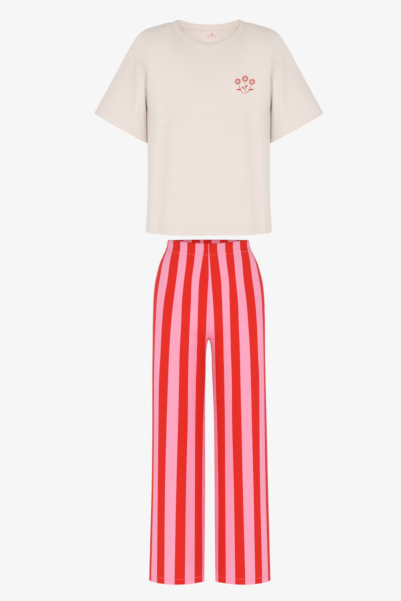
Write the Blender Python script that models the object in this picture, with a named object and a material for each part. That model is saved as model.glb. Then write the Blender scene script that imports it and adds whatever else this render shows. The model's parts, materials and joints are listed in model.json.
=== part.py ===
"""Pyjama set, worn shape: a boxy drop-shoulder T-shirt above wide elasticated trousers.

Frame: the front faces -Y, the wearer's left is +X, +Z is up. The origin lies midway
between the shoulders, level with the highest point of the neckband. Every size below
is in millimetres. Each cloth piece is a thin closed wall around a worked-out middle
surface, and neighbouring pieces stop just short of their shared seam.
"""
from collections import namedtuple

import bpy
import numpy as np

MM = 0.001                      # metres in a millimetre

# ---- Cloth ---------------------------------------------------------------------
JERSEY = 1.5                    # wall of the T-shirt, sleeves and trousers
RIB = 2.2                       # neckband, folded double
SEAM_GAP = 0.33                 # free space between two pieces at a seam
BAND_GAP = 1.6                  # the thicker neckband needs more, as it turns at its seam
DENSE = 241                     # points of a section before it is spaced out evenly

# ---- T-shirt -------------------------------------------------------------------
UNDERARM_Z = -269.0
SHIRT_HEM_Z = -643.0
SHIRT_HEM_SAG = 2.4             # the hem hangs lower at its middle than at its side seams
SHIRT_SAG_REACH = 120.0         # up to this height above the hem
SWELL_Y = -27.0                 # beside the arms the front stands out a little, here
SWELL_REACH = 12.0
NECK_SHARE = 0.42               # part of a half front that ends at the neckline
NECK_COLUMNS = 6                # columns of wall from the centre to the neck point
SHOULDER_COLUMNS = 6            # columns of wall from the neck point to the armhole
YOKE_ROWS = 8                   # rows of wall from the underarm up to the shoulder
BODY_ROWS = 9                   # rows of wall from the underarm down to the hem
SLEEVE_ROWS = 7
SLEEVE_CLEAR_UNDER = 2.3        # the sleeve's seam stands this far off the body's, under the arm
SLEEVE_CLEAR_TOP = 0.85         # and on the shoulder
CUFF_INNER = (185.4, -8.0, -374.5)
CUFF_OUTER = (348.0, 5.0, -284.0)
CUFF_DEPTH = 44.0               # half the cuff, front to back
CUFF_SQUARENESS = 1.8
BAND_BULGE = 1.5                # how far the neckband rounds out between its edges
BAND_BULGE_SIDE = 0.1           # share of that at the shoulders, where it lies flatter

ShirtSection = namedtuple("ShirtSection", "z half_width front back side_y swell square")
SHIRT_SECTIONS = [ShirtSection(*row) for row in (
    # z, half width, front depth, back depth, y of the side seam, swell of the front's edge,
    # and the superellipse exponent: 2 is an oval, more is boxier
    (-269, 186.0, 128, 103, 0, 2.2, 2.5),
    (-300, 185.0, 129, 102, 0, 3.0, 2.7),
    (-340, 183.2, 129, 101, 0, 3.1, 3.0),
    (-390, 182.6, 127, 102, 0, 3.0, 3.2),
    (-450, 184.4, 125, 105, 1, 1.0, 3.2),
    (-500, 185.2, 123, 107, 1, 0.0, 3.2),
    (-560, 186.6, 122, 110, 2, 0.0, 3.1),
    (-610, 189.5, 122, 113, 3, 0.0, 3.0),
    (-643, 191.5, 123, 116, 3, 0.0, 3.0),
)]

FOLD_ONSET = 0.36               # share of its length in which a fold reaches its full depth
FOLD_EDGE = 12.0                # this close to the side seams the folds fade out
ShirtFold = namedtuple("ShirtFold", "side x_top z_top x_hem depth width")
SHIRT_FOLDS = [ShirtFold(*row) for row in (
    # side (-1 front, +1 back), x and z where it starts, x at the hem, depth, half width
    (-1, -125, -200, -155, 16.0, 17),
    (-1, 123, -200, 149, 15.0, 17),
    (-1, -70, -400, -57, 4.5, 15),
    (-1, 72, -410, 58, 4.0, 15),
    (+1, -104, -290, -122, 7.5, 18),
    (+1, 108, -320, 120, 6.5, 18),
    (+1, 12, -380, 4, 4.5, 20),
)]

RidgePoint = namedtuple("RidgePoint", "x y z")
SHOULDER_RIDGE = [RidgePoint(*row) for row in (
    (112.0, 2, -7.0),
    (124.0, 4, -8.6),
    (149.0, 6, -15.5),
    (173.0, 6, -21.8),
    (199.0, 6, -32.2),
    (222.8, 5, -55.0),
    (236.0, 5, -79.0),
)]

NeckPoint = namedtuple("NeckPoint", "angle seam_z edge_z")
NECK_RING = [NeckPoint(*row) for row in (
    # angle round the neck (0 at the centre front), height of the seam, of the free edge
    (0, -80.0, -65.0),
    (30, -67.0, -52.5),
    (60, -38.0, -28.0),
    (75, -22.0, -15.0),
    (90, -8.0, -5.0),
    (112, -14.0, 0.0),
    (136, -24.0, -7.8),
    (155, -30.5, -14.0),
    (180, -34.0, -17.3),
)]
NeckPlan = namedtuple("NeckPlan", "half_width front back")
NECK_SEAM_PLAN = NeckPlan(112.0, 76.0, 65.0)
NECK_EDGE_PLAN = NeckPlan(97.0, 65.0, 55.0)

YokeLean = namedtuple("YokeLean", "share top_x top_y top_z low_x low_y low_z")
FRONT_YOKE = [YokeLean(*row) for row in (
    # share of the half front, way the cloth leaves the top edge, way it leaves the chest
    (0.00, 0.0, -26, -50, 0, 1, 94),
    (0.14, 8.0, -34, -46, 0, 1, 102),
    (0.28, 24.0, -47, -36, 0, 3, 116),
    (0.42, 32.0, -72, -14, 0, 4, 120),
    (0.70, -12.0, -84, -12, -6, -25, 105),
    (1.00, -77.5, -95, -36, 6, -62, 34),
)]
BACK_YOKE = [YokeLean(*row) for row in (
    (0.00, 0.0, 16, -42, 0, 5, 75),
    (0.14, 8.0, 22, -38, 0, 5, 86),
    (0.28, 24.0, 38, -25, 0, 5, 110),
    (0.42, 32.0, 70, -9, 0, 5, 130),
    (0.70, -12.0, 76, -14, -6, 22, 105),
    (1.00, -77.5, 83, -36, 6, 60, 34),
)]

SleeveLean = namedtuple("SleeveLean", "lift start_x start_y start_z end_x end_y end_z")
SLEEVE_LEANS = [SleeveLean(*row) for row in (
    # 0 under the arm and 1 on top, way the cloth leaves the armhole, way back from the cuff
    (0.0, 0.5, -8, -13, 0.0, 0, 34),
    (1.0, 36, 0, -66, -36, 0, 65),
)]

# ---- Trousers ------------------------------------------------------------------
CROTCH_Z = -973.0
HIP_END_Z = -810.0              # below this the hips start to part into two legs
RISE_HEIGHT = 100.0             # height of the rounded part of the crotch seam
CASING_ROWS = 3                 # the last of the row heights below, which span the casing
CASING_WALL = 1.2
CASING_GAP = 0.6
HIP_SQUARENESS = 2.9
CREST_OUT = {-1: 0.28, +1: 0.20}    # front and back crests lean outward, in half widths
OUTSEAM_Y = 8.0
LEG_MIDDLE_X = 88.0
LEG_COLUMNS = 11
LEG_PARTING = 0.3               # the two legs' panels stand this much further apart
FORK_BRIDGE = 40.0              # how softly the cloth between the legs runs into them
FORK_END = 60.0                 # that cloth falls away by this much past a leg's crest
CREST_SHARE = 0.4               # where across the leg the falling away starts
CREST_FADE = 0.3                # and how wide it is
THIGH_FILL = 0.09               # the thighs round out where the hips turn into them
FORK_ROWS = 6                   # rows of wall through the crotch curve
CASING_Z = -703.0               # lower edge of the casing
DIP_END_Z = -785.0              # the dips of the waist edge fade out from the casing to here
HEM_SAG = 2.0                   # a leg's hem hangs lower at its middle than at its seams
INSEAM_SAG = 3.5                # and lowest beside the inseam
INSEAM_REACH = 0.3              # which takes this share of a panel's width
SAG_REACH = 90.0                # both fade out this far above the hem

RimDip = namedtuple("RimDip", "share front back")
RIM_DIPS = [RimDip(*row) for row in (
    # share from the centre to the outseam, dip of the front's edge, of the back's
    (0.00, 5.0, 8.4),
    (0.25, 2.0, 8.4),
    (0.50, -1.8, 8.0),
    (0.75, -1.8, 6.5),
    (1.00, 3.0, 3.0),
)]
Sway = namedtuple("Sway", "z off")
SWAYS = [Sway(*row) for row in (
    # height, how far the legs hang off to the wearer's left there
    (-669, -1.5),
    (-800, 0.0),
    (-1090, 0.3),
    (-1250, 2.4),
    (-1718, 3.3),
)]

TrouserSection = namedtuple("TrouserSection", "z outer inner front back taper crest")
TROUSER_SECTIONS = [TrouserSection(*row) for row in (
    # z, outseam x, inseam x, front depth, back depth, how far a leg tapers to its seams
    # (1 is an oval, less is fuller and more comes to soft edges), and its crests' lean
    (-669, 122.5, 0.0, 85, 80, 0.8, 1.0),
    (-694, 127.5, 0.0, 89, 88, 0.8, 1.0),
    (-719, 139.5, 0.0, 94, 98, 0.8, 1.0),
    (-743, 149.5, 0.0, 98, 107, 0.8, 1.0),
    (-768, 156.5, 0.0, 101, 114, 0.8, 1.0),
    (-792, 162.5, 0.0, 103, 120, 0.8, 1.0),
    (-842, 168.5, 0.0, 104, 127, 0.8, 1.0),
    (-900, 170.8, 0.0, 102, 126, 0.8, 1.0),
    (-973, 171.5, 0.0, 97, 117, 0.8, 1.0),
    (-981, 171.5, 3.6, 96, 116, 0.8, 1.0),
    (-1007, 171.8, 7.6, 94, 113, 0.82, 1.0),
    (-1069, 172.6, 9.8, 91, 106, 0.95, 1.0),
    (-1192, 174.2, 13.4, 87, 97, 1.15, 1.0),
    (-1315, 176.0, 14.0, 83, 90, 1.3, 0.85),
    (-1455, 178.8, 14.6, 80, 84, 1.35, 0.6),
    (-1590, 182.6, 15.6, 78, 79, 1.35, 0.25),
    (-1718, 186.0, 17.0, 78, 77, 1.3, 0.0),
)]
LEG_ROW_HEIGHTS = (-1718, -1630, -1540, -1445, -1350, -1255, -1165, -1085, -1025, -990, -980)
HIP_ROW_HEIGHTS = (-842, -812, -784, -756, -729, CASING_Z, -686, -669)

# ---- Finishes: colours as sRGB -------------------------------------------------
CREAM = (0.918, 0.882, 0.855)
CREAM_RIB = (0.902, 0.871, 0.827)
RED = (0.906, 0.169, 0.133)
PINK = (0.992, 0.655, 0.780)
CLOTH_ROUGHNESS = 0.9
SHARP_ANGLE = 50.0              # edges sharper than this stay crisp


def through(rows, column, at, level=(False, False)):
    """Value of a named column on a smooth curve over the first column; level marks flat ends."""
    ordered = sorted(rows)
    keys = np.array([row[0] for row in ordered], float)
    values = np.array([getattr(row, column) for row in ordered], float)
    slopes = np.gradient(values, keys)
    slopes[[end for end in (0, -1) if level[end]]] = 0.0
    at = np.clip(np.asarray(at, float), keys[0], keys[-1])
    low = np.clip(np.searchsorted(keys, at, side="right") - 1, 0, len(keys) - 2)
    span = keys[low + 1] - keys[low]
    t = (at - keys[low]) / span
    return (values[low] * (1 + 2 * t) * (1 - t) ** 2 + slopes[low] * span * t * (1 - t) ** 2
            + values[low + 1] * t * t * (3 - 2 * t) + slopes[low + 1] * span * t * t * (t - 1))


def point(x, y, z):
    """Coordinates of equal or single length joined into an array of points."""
    return np.stack(np.broadcast_arrays(x, y, z), axis=-1).astype(float)


def even_steps(points, shares):
    """Places (0 to 1 along the points' order) at the given shares of a polyline's length."""
    steps = np.linalg.norm(np.diff(points, axis=0), axis=1)
    length = np.concatenate(([0.0], np.cumsum(steps)))
    return np.interp(np.asarray(shares) * length[-1], length, np.linspace(0, 1, len(points)))


def picked(points, places):
    """Points of a polyline at places from 0 to 1 along its order."""
    order = np.linspace(0, 1, len(points))
    return np.stack([np.interp(places, order, points[:, axis]) for axis in range(3)], axis=-1)


def spaced(points, shares):
    """Points at the given shares (0 to 1) of the length of a polyline."""
    return picked(points, even_steps(points, shares))


def signed_power(value, power):
    """A power that keeps the sign, for superellipses."""
    return np.sign(value) * np.abs(value) ** power


def ease(value):
    """Smooth step from 0 to 1."""
    value = np.clip(value, 0.0, 1.0)
    return value * value * (3 - 2 * value)


# ---- T-shirt surfaces ----------------------------------------------------------
def fold_depth(side, x, z):
    """Depth of the soft hanging folds at points of the front or back."""
    depth = np.zeros(np.broadcast(x, z).shape)
    for fold in SHIRT_FOLDS:
        if fold.side != side:
            continue
        down = np.clip((fold.z_top - z) / (fold.z_top - SHIRT_HEM_Z), 0.0, 1.0)
        centre = fold.x_top + (fold.x_hem - fold.x_top) * down
        onset = ease(down / FOLD_ONSET)
        depth = depth + fold.depth * onset * np.exp(-((x - centre) / fold.width) ** 2)
    return depth


def body_row(side, shares, z):
    """Half section of the T-shirt body, from -X to +X; side is -1 front, +1 back."""
    half_width, side_y, swell, square = (
        through(SHIRT_SECTIONS, name, z) for name in ("half_width", "side_y", "swell", "square"))
    depth = through(SHIRT_SECTIONS, "front" if side < 0 else "back", z)
    turn = np.linspace(-np.pi / 2, np.pi / 2, DENSE)
    power = 2 / square
    x = half_width * signed_power(np.sin(turn), power)
    y = side_y + side * (depth - side * side_y) * np.abs(np.cos(turn)) ** power
    if side < 0:
        x = x + np.sign(x) * swell * np.exp(-((y - SWELL_Y) / SWELL_REACH) ** 2)
    y = y - side * fold_depth(side, x, z) * ease((half_width - np.abs(x)) / FOLD_EDGE)
    sag = SHIRT_HEM_SAG * np.cos(turn) * ease(1 - (z - SHIRT_HEM_Z) / SHIRT_SAG_REACH)
    return spaced(point(x, y, z - sag), (np.asarray(shares) + 1) / 2)


def neck_point(angle, plan, height):
    """Points on a ring round the neck; angle 0 is the centre front, in degrees."""
    turn = np.radians(angle)
    depth = np.where(np.cos(turn) > 0, plan.front, plan.back)
    z = through(NECK_RING, height, np.abs(angle), level=(True, True))
    return point(plan.half_width * np.sin(turn), -depth * np.cos(turn), z)


def top_edge(side, shares):
    """Shoulder, neckline and shoulder of the front or back, from -X to +X."""
    shares = np.asarray(shares, float)
    reach = np.abs(shares)
    quarter = np.clip(reach / NECK_SHARE, 0, 1) * 90
    angle = quarter if side < 0 else 180 - quarter
    neck = neck_point(angle, NECK_SEAM_PLAN, "seam_z")
    along = np.linspace(SHOULDER_RIDGE[0].x, SHOULDER_RIDGE[-1].x, DENSE)
    ridge = point(along, through(SHOULDER_RIDGE, "y", along), through(SHOULDER_RIDGE, "z", along))
    shoulder = spaced(ridge, np.clip((reach - NECK_SHARE) / (1 - NECK_SHARE), 0, 1))
    edge = np.where((reach <= NECK_SHARE)[:, None], neck, shoulder)
    edge[:, 0] *= np.where(shares < 0, -1, 1)
    return edge


def lean(table, shares, end):
    """Offsets from a yoke table, mirrored for negative shares."""
    reach = np.abs(shares)
    offset = point(*(through(table, end + axis, reach, level=(axis != "_x", False))
                     for axis in ("_x", "_y", "_z")))
    offset[:, 0] *= np.where(np.asarray(shares) < 0, -1, 1)
    return offset


def bezier(controls, t):
    """Cubic Bezier between four control rows."""
    first, second, third, last = controls
    return (first * (1 - t) ** 3 + 3 * second * t * (1 - t) ** 2
            + 3 * third * t * t * (1 - t) + last * t ** 3)


def yoke_row(side, shares, rise):
    """Row of the chest or upper back; rise is 0 at the underarm and 1 at the shoulder."""
    table = FRONT_YOKE if side < 0 else BACK_YOKE
    low = body_row(side, shares, UNDERARM_Z)
    top = top_edge(side, shares)
    return bezier((low, low + lean(table, shares, "low"), top + lean(table, shares, "top"), top),
                  rise)


def shirt_panel(side):
    """Middle surface of the T-shirt front or back, rows from the hem to the shoulder."""
    neck = np.linspace(0, NECK_SHARE, NECK_COLUMNS + 1)
    shoulder = np.linspace(NECK_SHARE, 1, SHOULDER_COLUMNS + 1)[1:]
    half = np.concatenate((neck, shoulder))
    shares = np.concatenate((-half[:0:-1], half))
    heights = np.linspace(SHIRT_HEM_Z, UNDERARM_Z, BODY_ROWS + 1)[:-1]
    rises = np.linspace(0, 1, YOKE_ROWS + 1)
    return np.array([body_row(side, shares, z) for z in heights]
                    + [yoke_row(side, shares, rise) for rise in rises])


def cuff_point(turn, side):
    """Point of the cuff; turn is 0 at its inner end and pi at its outer end."""
    inner, outer = np.array(CUFF_INNER), np.array(CUFF_OUTER)
    middle, half = (inner + outer) / 2, (outer - inner) / 2
    power = 2 / CUFF_SQUARENESS
    across = -signed_power(np.cos(turn), power)
    deep = side * CUFF_DEPTH * np.abs(np.sin(turn)) ** power
    return middle + half * across + np.array((0, deep, 0))


def sleeve_tube():
    """Middle surface of the +X sleeve: rings from the armhole to the cuff."""
    edge = np.array([1.0])
    columns = []
    for side, rises in ((-1, range(YOKE_ROWS + 1)), (+1, range(YOKE_ROWS - 1, -1, -1))):
        for step in rises:
            rise = step / YOKE_ROWS
            turn = np.pi * rise
            lift = (1 - np.cos(turn)) / 2
            seam = yoke_row(side, edge, rise)[0]
            seam[0] += SLEEVE_CLEAR_UNDER + (SLEEVE_CLEAR_TOP - SLEEVE_CLEAR_UNDER) * lift
            start, end = (np.array([through(SLEEVE_LEANS, when + axis, lift)
                                    for axis in ("_x", "_y", "_z")]) for when in ("start", "end"))
            cuff = cuff_point(turn, side)
            columns.append([bezier((seam, seam + start, cuff + end, cuff), row / SLEEVE_ROWS)
                            for row in range(SLEEVE_ROWS + 1)])
    return np.array(columns).transpose(1, 0, 2)


def neckband_tube():
    """Middle surface of the neckband: its seam, its rounded middle and its free edge."""
    quarter = np.linspace(0, 90, NECK_COLUMNS + 1)
    half = np.concatenate((quarter, 180 - quarter[-2::-1]))
    angles = np.concatenate((half, -half[-2::-1]))
    seam = neck_point(angles, NECK_SEAM_PLAN, "seam_z")
    edge = neck_point(angles, NECK_EDGE_PLAN, "edge_z")
    outward = seam - point(0, 0, seam[:, 2])
    outward = outward / np.linalg.norm(outward, axis=1, keepdims=True)
    facing = BAND_BULGE_SIDE + (1 - BAND_BULGE_SIDE) * np.cos(np.radians(angles)) ** 2
    middle = (seam + edge) / 2 + (outward + point(0, 0, 1)) * BAND_BULGE * facing[:, None]
    return np.array([seam, middle, edge])


# ---- Trouser surfaces ----------------------------------------------------------
def trouser_row(side, z):
    """Quarter section of the trousers at +X, from the centre or inseam to the outseam."""
    outer = through(TROUSER_SECTIONS, "outer", z)
    inner = max(float(through(TROUSER_SECTIONS, "inner", z)), 0.0) if z < CROTCH_Z else 0.0
    depth = through(TROUSER_SECTIONS, "front" if side < 0 else "back", z)
    reach = depth - side * OUTSEAM_Y
    across = np.linspace(0, 1, DENSE)

    turn = across * np.pi / 2
    hip_x = outer * np.sin(turn) ** (2 / HIP_SQUARENESS)
    hip_y = OUTSEAM_Y + side * reach * np.cos(turn) ** (2 / HIP_SQUARENESS)

    turn = across * np.pi
    half = (outer - inner) / 2
    crest = CREST_OUT[side] * through(TROUSER_SECTIONS, "crest", z)
    leg_x = inner + half * (1 - np.cos(turn) + crest * np.sin(turn) ** 2)
    taper = through(TROUSER_SECTIONS, "taper", z)
    leg_y = OUTSEAM_Y + side * reach * np.abs(np.sin(turn)) ** taper

    parted = ease((HIP_END_Z - z) / (HIP_END_Z - CROTCH_Z))
    x = hip_x + (leg_x - hip_x) * parted
    y = hip_y + (leg_y - hip_y) * parted
    fill = 4 * THIGH_FILL * parted * (1 - parted) * np.sin(turn)
    y = OUTSEAM_Y + (y - OUTSEAM_Y) * (1 + fill)
    climb = np.clip((CROTCH_Z + RISE_HEIGHT - z) / RISE_HEIGHT, 0, 1)
    if z > CROTCH_Z:
        seam = OUTSEAM_Y + (hip_y - OUTSEAM_Y) * np.sqrt(1 - climb ** 2)
        past_crest = ease((across - CREST_SHARE) / CREST_FADE)
        seam = side * seam - FORK_END * past_crest
        softness = FORK_BRIDGE * parted * (1 - climb) * (1 - past_crest)
        y = side * (side * y + seam + np.hypot(side * y - seam, softness)) / 2
    top_fade = ease((z - DIP_END_Z) / (CASING_Z - DIP_END_Z))
    dip = through(RIM_DIPS, "front" if side < 0 else "back", across) * top_fade
    sag = HEM_SAG * np.sin(turn) + INSEAM_SAG * ease(1 - across / INSEAM_REACH)
    dip = dip + sag * ease(1 - (z - TROUSER_SECTIONS[-1].z) / SAG_REACH)
    row = point(x, y, z - dip)
    shares = np.linspace(0, 1, LEG_COLUMNS + 1)
    own, leg = even_steps(row, shares), even_steps(point(leg_x, leg_y, z), shares)
    return picked(row, own + (leg - own) * parted)


def trouser_panel(side, leg):
    """Middle surface of one trouser panel, rows from the hem to the waist; leg is -1 or +1."""
    fork = np.linspace(0, np.pi / 2, FORK_ROWS + 1)
    fork_heights = CROTCH_Z + RISE_HEIGHT * (1 - np.cos(fork))
    heights = np.array([*LEG_ROW_HEIGHTS, *fork_heights, *HIP_ROW_HEIGHTS])
    rows = np.array([trouser_row(side, z) for z in heights])
    rows[..., 0] = rows[..., 0] * leg + through(SWAYS, "off", heights)[:, None]
    return rows


# ---- Walls ---------------------------------------------------------------------
def face_outward(grid, core):
    """The grid with its columns turned so that its faces look away from the core."""
    across = grid[:-1, 1:] - grid[:-1, :-1]
    up = grid[1:, :-1] - grid[:-1, :-1]
    looks = np.cross(across, up)
    if np.sum(looks * (grid[:-1, :-1] - np.array(core))) < 0:
        return grid[:, ::-1]
    return grid


def shared_normals(grids):
    """Normals at every point of some grids, alike where the grids meet at a seam."""
    totals = {}

    def key(place):
        return tuple(np.round(place, 2) + 0.0)

    for grid in grids:
        ahead = grid[1:, 1:] - grid[:-1, :-1]
        back = grid[1:, :-1] - grid[:-1, 1:]
        faces = np.cross(ahead, back)
        for row in range(faces.shape[0]):
            for column in range(faces.shape[1]):
                for corner in ((0, 0), (0, 1), (1, 0), (1, 1)):
                    place = key(grid[row + corner[0], column + corner[1]])
                    totals[place] = totals.get(place, 0) + faces[row, column]
    normals = []
    for grid in grids:
        field = np.array([[totals[key(place)] for place in row] for row in grid])
        normals.append(field / np.linalg.norm(field, axis=-1, keepdims=True))
    return normals


def drawn_in(grid, closed, gap):
    """The grid with its edges moved in by half the gap left at a seam."""
    moved = grid.copy()
    edges = [(moved[0], grid[1]), (moved[-1], grid[-2])]
    if not closed:
        edges += [(moved[:, 0], grid[:, 1]), (moved[:, -1], grid[:, -2])]
    for edge, neighbour in edges:
        way = neighbour - edge
        edge += way / np.linalg.norm(way, axis=-1, keepdims=True) * (gap / 2)
    return moved


def cut_quad(quad, places):
    """Two triangles of a quad of grid corners, cut along its shorter diagonal."""
    first, second, third, fourth = quad
    rising = np.linalg.norm(places[0] - places[2])
    falling = np.linalg.norm(places[1] - places[3])
    if rising < falling:
        return (first, second, third), (first, third, fourth)
    return (first, second, fourth), (second, third, fourth)


def cloth_wall(name, grid, normals, thickness, material, closed=False, gap=SEAM_GAP):
    """A closed wall of cloth around a grid of points, as one object."""
    moved = drawn_in(grid, closed, gap)
    if closed:
        moved, normals = moved[:, :-1], normals[:, :-1]
    rows, columns = moved.shape[:2]
    skins = (moved + normals * thickness / 2, moved - normals * thickness / 2)
    points = np.concatenate([skin.reshape(-1, 3) for skin in skins]) * MM

    def index(skin, row, column):
        return skin * rows * columns + row * columns + column % columns

    faces = []
    for row in range(rows - 1):
        for column in range(columns if closed else columns - 1):
            quad = ((row, column), (row, column + 1), (row + 1, column + 1), (row + 1, column))
            for triangle in cut_quad(quad, [moved[r, c % columns] for r, c in quad]):
                faces.append([index(0, *corner) for corner in triangle])
                faces.append([index(1, *corner) for corner in reversed(triangle)])
    rim = [(0, column) for column in range(columns)]
    top = [(rows - 1, column) for column in range(columns)]
    if closed:
        loops = [rim + rim[:1], (top + top[:1])[::-1]]
    else:
        right = [(row, columns - 1) for row in range(rows)]
        left = [(row, 0) for row in range(rows)]
        loops = [rim + right[1:] + top[-2::-1] + left[-2::-1]]
    for loop in loops:
        for start, end in zip(loop[:-1], loop[1:]):
            faces.append([index(0, *end), index(0, *start), index(1, *start), index(1, *end)])

    mesh = bpy.data.meshes.new(name)
    mesh.from_pydata([tuple(place) for place in points], [], faces)
    mesh.update()
    mesh.materials.append(material)
    mesh.shade_smooth()
    mesh.set_sharp_from_angle(angle=np.radians(SHARP_ANGLE))
    piece = bpy.data.objects.new(name, mesh)
    bpy.context.scene.collection.objects.link(piece)
    return piece


def linear(colour):
    """An sRGB colour as the linear one that a material takes."""
    return [((value + 0.055) / 1.055) ** 2.4 for value in colour] + [1.0]


def cloth_material(name, colour):
    """A plain cloth material."""
    material = bpy.data.materials.new(name)
    material.use_nodes = True
    shader = material.node_tree.nodes["Principled BSDF"]
    shader.inputs["Base Color"].default_value = linear(colour)
    shader.inputs["Roughness"].default_value = CLOTH_ROUGHNESS
    shader.inputs["Metallic"].default_value = 0.0
    return material


# ---- The set -------------------------------------------------------------------
def make_shirt():
    """Front, back, two sleeves and the neckband."""
    jersey = cloth_material("cream_jersey", CREAM)
    rib = cloth_material("cream_rib", CREAM_RIB)
    chest = (0, 0, UNDERARM_Z)
    panels = [face_outward(shirt_panel(side), chest) for side in (-1, +1)]
    for name, grid, normals in zip(("shirt_front", "shirt_back"), panels, shared_normals(panels)):
        cloth_wall(name, grid, normals, JERSEY, jersey)

    for name, mirror in (("sleeve_left", 1), ("sleeve_right", -1)):
        tube = sleeve_tube()
        tube[..., 0] *= mirror
        tube = face_outward(tube, tube.mean(axis=(0, 1)))
        cloth_wall(name, tube, shared_normals([tube])[0], JERSEY, jersey, closed=True)

    band = neckband_tube()
    band = face_outward(band, (0, 0, band[..., 2].mean()))
    cloth_wall("neckband", band, shared_normals([band])[0], RIB, rib, closed=True, gap=BAND_GAP)


def make_trousers():
    """Two front and two back legs, and the layer turned in at the waist."""
    red = cloth_material("striped_cloth_red", RED)
    pink = cloth_material("striped_cloth_pink", PINK)
    pieces = [(f"trouser_{word}_{hand}", side, leg)
              for word, side in (("front", -1), ("back", +1))
              for hand, leg in (("left", +1), ("right", -1))]
    panels = [face_outward(trouser_panel(side, leg), (leg * LEG_MIDDLE_X, OUTSEAM_Y, CROTCH_Z))
              for _, side, leg in pieces]
    normals = shared_normals(panels)
    for (name, _, leg), grid, field in zip(pieces, panels, normals):
        cloth_wall(name, grid + point(leg * LEG_PARTING / 2, 0, 0), field, JERSEY, red)

    around = (0, 2, 3, 1)
    ring, looks = (np.concatenate([rows[around[0]][-CASING_ROWS:, :1]]
                                  + [rows[number][-CASING_ROWS:, 1:] for number in around], axis=1)
                   for rows in (panels, normals))
    ring = ring - looks * (JERSEY / 2 + CASING_GAP + CASING_WALL / 2)
    cloth_wall("waist_casing", ring, looks, CASING_WALL, pink, closed=True)


def main():
    """Clear the scene and build the set."""
    for thing in list(bpy.data.objects):
        bpy.data.objects.remove(thing)
    make_shirt()
    make_trousers()


main()
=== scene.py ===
"""Looks of a pyjama set in its worn shape: a boxy T-shirt above wide striped trousers.

The front faces -Y, the wearer's left is +X and +Z is up. Lengths are in millimetres until
a mesh is written. Each visible cloth is a thin shell on the form of the solid it stands
for, cut finer, with its folds, seams, turned hems and stitches.
"""
import json
import logging
from dataclasses import dataclass, field
from enum import Enum, IntEnum
from typing import NamedTuple

import bpy
import numpy as np
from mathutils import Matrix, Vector
from mathutils.bvhtree import BVHTree

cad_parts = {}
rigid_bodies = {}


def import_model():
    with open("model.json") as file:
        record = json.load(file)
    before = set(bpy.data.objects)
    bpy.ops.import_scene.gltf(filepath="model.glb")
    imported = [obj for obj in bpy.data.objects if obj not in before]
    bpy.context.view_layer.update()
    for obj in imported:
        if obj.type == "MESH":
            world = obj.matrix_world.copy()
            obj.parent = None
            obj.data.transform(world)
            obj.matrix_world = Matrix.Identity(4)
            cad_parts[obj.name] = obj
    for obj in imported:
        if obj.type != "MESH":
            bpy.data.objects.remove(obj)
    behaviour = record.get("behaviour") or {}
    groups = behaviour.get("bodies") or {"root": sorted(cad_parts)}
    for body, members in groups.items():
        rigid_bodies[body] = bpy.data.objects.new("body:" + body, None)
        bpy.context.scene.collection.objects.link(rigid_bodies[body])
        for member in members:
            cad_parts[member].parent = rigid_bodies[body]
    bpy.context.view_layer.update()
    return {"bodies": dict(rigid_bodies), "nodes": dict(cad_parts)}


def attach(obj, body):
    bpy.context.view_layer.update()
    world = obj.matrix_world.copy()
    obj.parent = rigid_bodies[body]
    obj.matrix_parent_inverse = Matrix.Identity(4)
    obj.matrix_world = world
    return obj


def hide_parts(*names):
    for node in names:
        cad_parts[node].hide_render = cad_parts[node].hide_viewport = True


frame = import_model()

MM = 0.001                  # metres in a millimetre
DENSE = 481                 # points of a section before it is spaced out evenly
NECK_STEPS = 1441           # points of the ring round the neck before it is spaced out
SHARP_FOLD = 42             # degrees: a fold sharper than this can stay crisp
STRAND_CORNERS = 6          # corners of a thread's section
PEN_STEP = 1.2              # distance between the points of a drawn line
PEN_SPANS = 6               # the fewest spans between them
WHITE = (1.0, 1.0, 1.0, 1.0)
CLOTH_MAP = "cloth"         # the UV map that lays a piece out flat
log = logging.getLogger("pyjamas")
Array = np.ndarray
Material = bpy.types.Material
Object = bpy.types.Object
Socket = bpy.types.NodeSocket
Pair = tuple[float, float]
Triple = tuple[float, float, float]


class Way(IntEnum):
    """A way from the middle of the wearer, as the sign of an axis."""

    @property
    def word(self) -> str:
        """The way as the names of pieces have it."""
        return self.name.lower()


class Side(Way):
    """Front or back of the wearer, as the sign of Y."""

    FRONT = -1
    BACK = 1


class Hand(Way):
    """The wearer's left or right, as the sign of X."""

    LEFT = 1
    RIGHT = -1


class Edge(Enum):
    """The edges of a cut piece, by its grid of places."""

    LOW = "first row"
    HIGH = "last row"
    FIRST = "first column"
    LAST = "last column"


# ---- Tables and curves -----------------------------------------------------------
def table(kind: type, rows: tuple) -> list:
    """A dataclass field that starts as a list of named rows."""
    return field(default_factory=lambda: [kind(*row) for row in rows])


def through(rows: list, column: str, at: Array | float,
            level: tuple[bool, bool] = (False, False)) -> Array:
    """Follow a named column of a table smoothly over its first column.

    Args:
        rows: named rows of the table.
        column: name of the column to follow.
        at: values of the first column.
        level: whether the curve starts and ends flat.

    Returns:
        The column's value at each place.
    """
    ordered = sorted(rows)
    keys = np.array([row[0] for row in ordered], float)
    values = np.array([getattr(row, column) for row in ordered], float)
    slopes = np.gradient(values, keys)
    slopes[[end for end in (0, -1) if level[end]]] = 0.0
    at = np.clip(np.asarray(at, float), keys[0], keys[-1])
    low = np.clip(np.searchsorted(keys, at, side="right") - 1, 0, len(keys) - 2)
    span = keys[low + 1] - keys[low]
    t = (at - keys[low]) / span
    return (values[low] * (1 + 2 * t) * (1 - t) ** 2 + slopes[low] * span * t * (1 - t) ** 2
            + values[low + 1] * t * t * (3 - 2 * t) + slopes[low + 1] * span * t * t * (t - 1))


def point(x: Array | float, y: Array | float, z: Array | float) -> Array:
    """Join coordinates of equal or single length into an array of points."""
    return np.stack(np.broadcast_arrays(x, y, z), axis=-1).astype(float)


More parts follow.
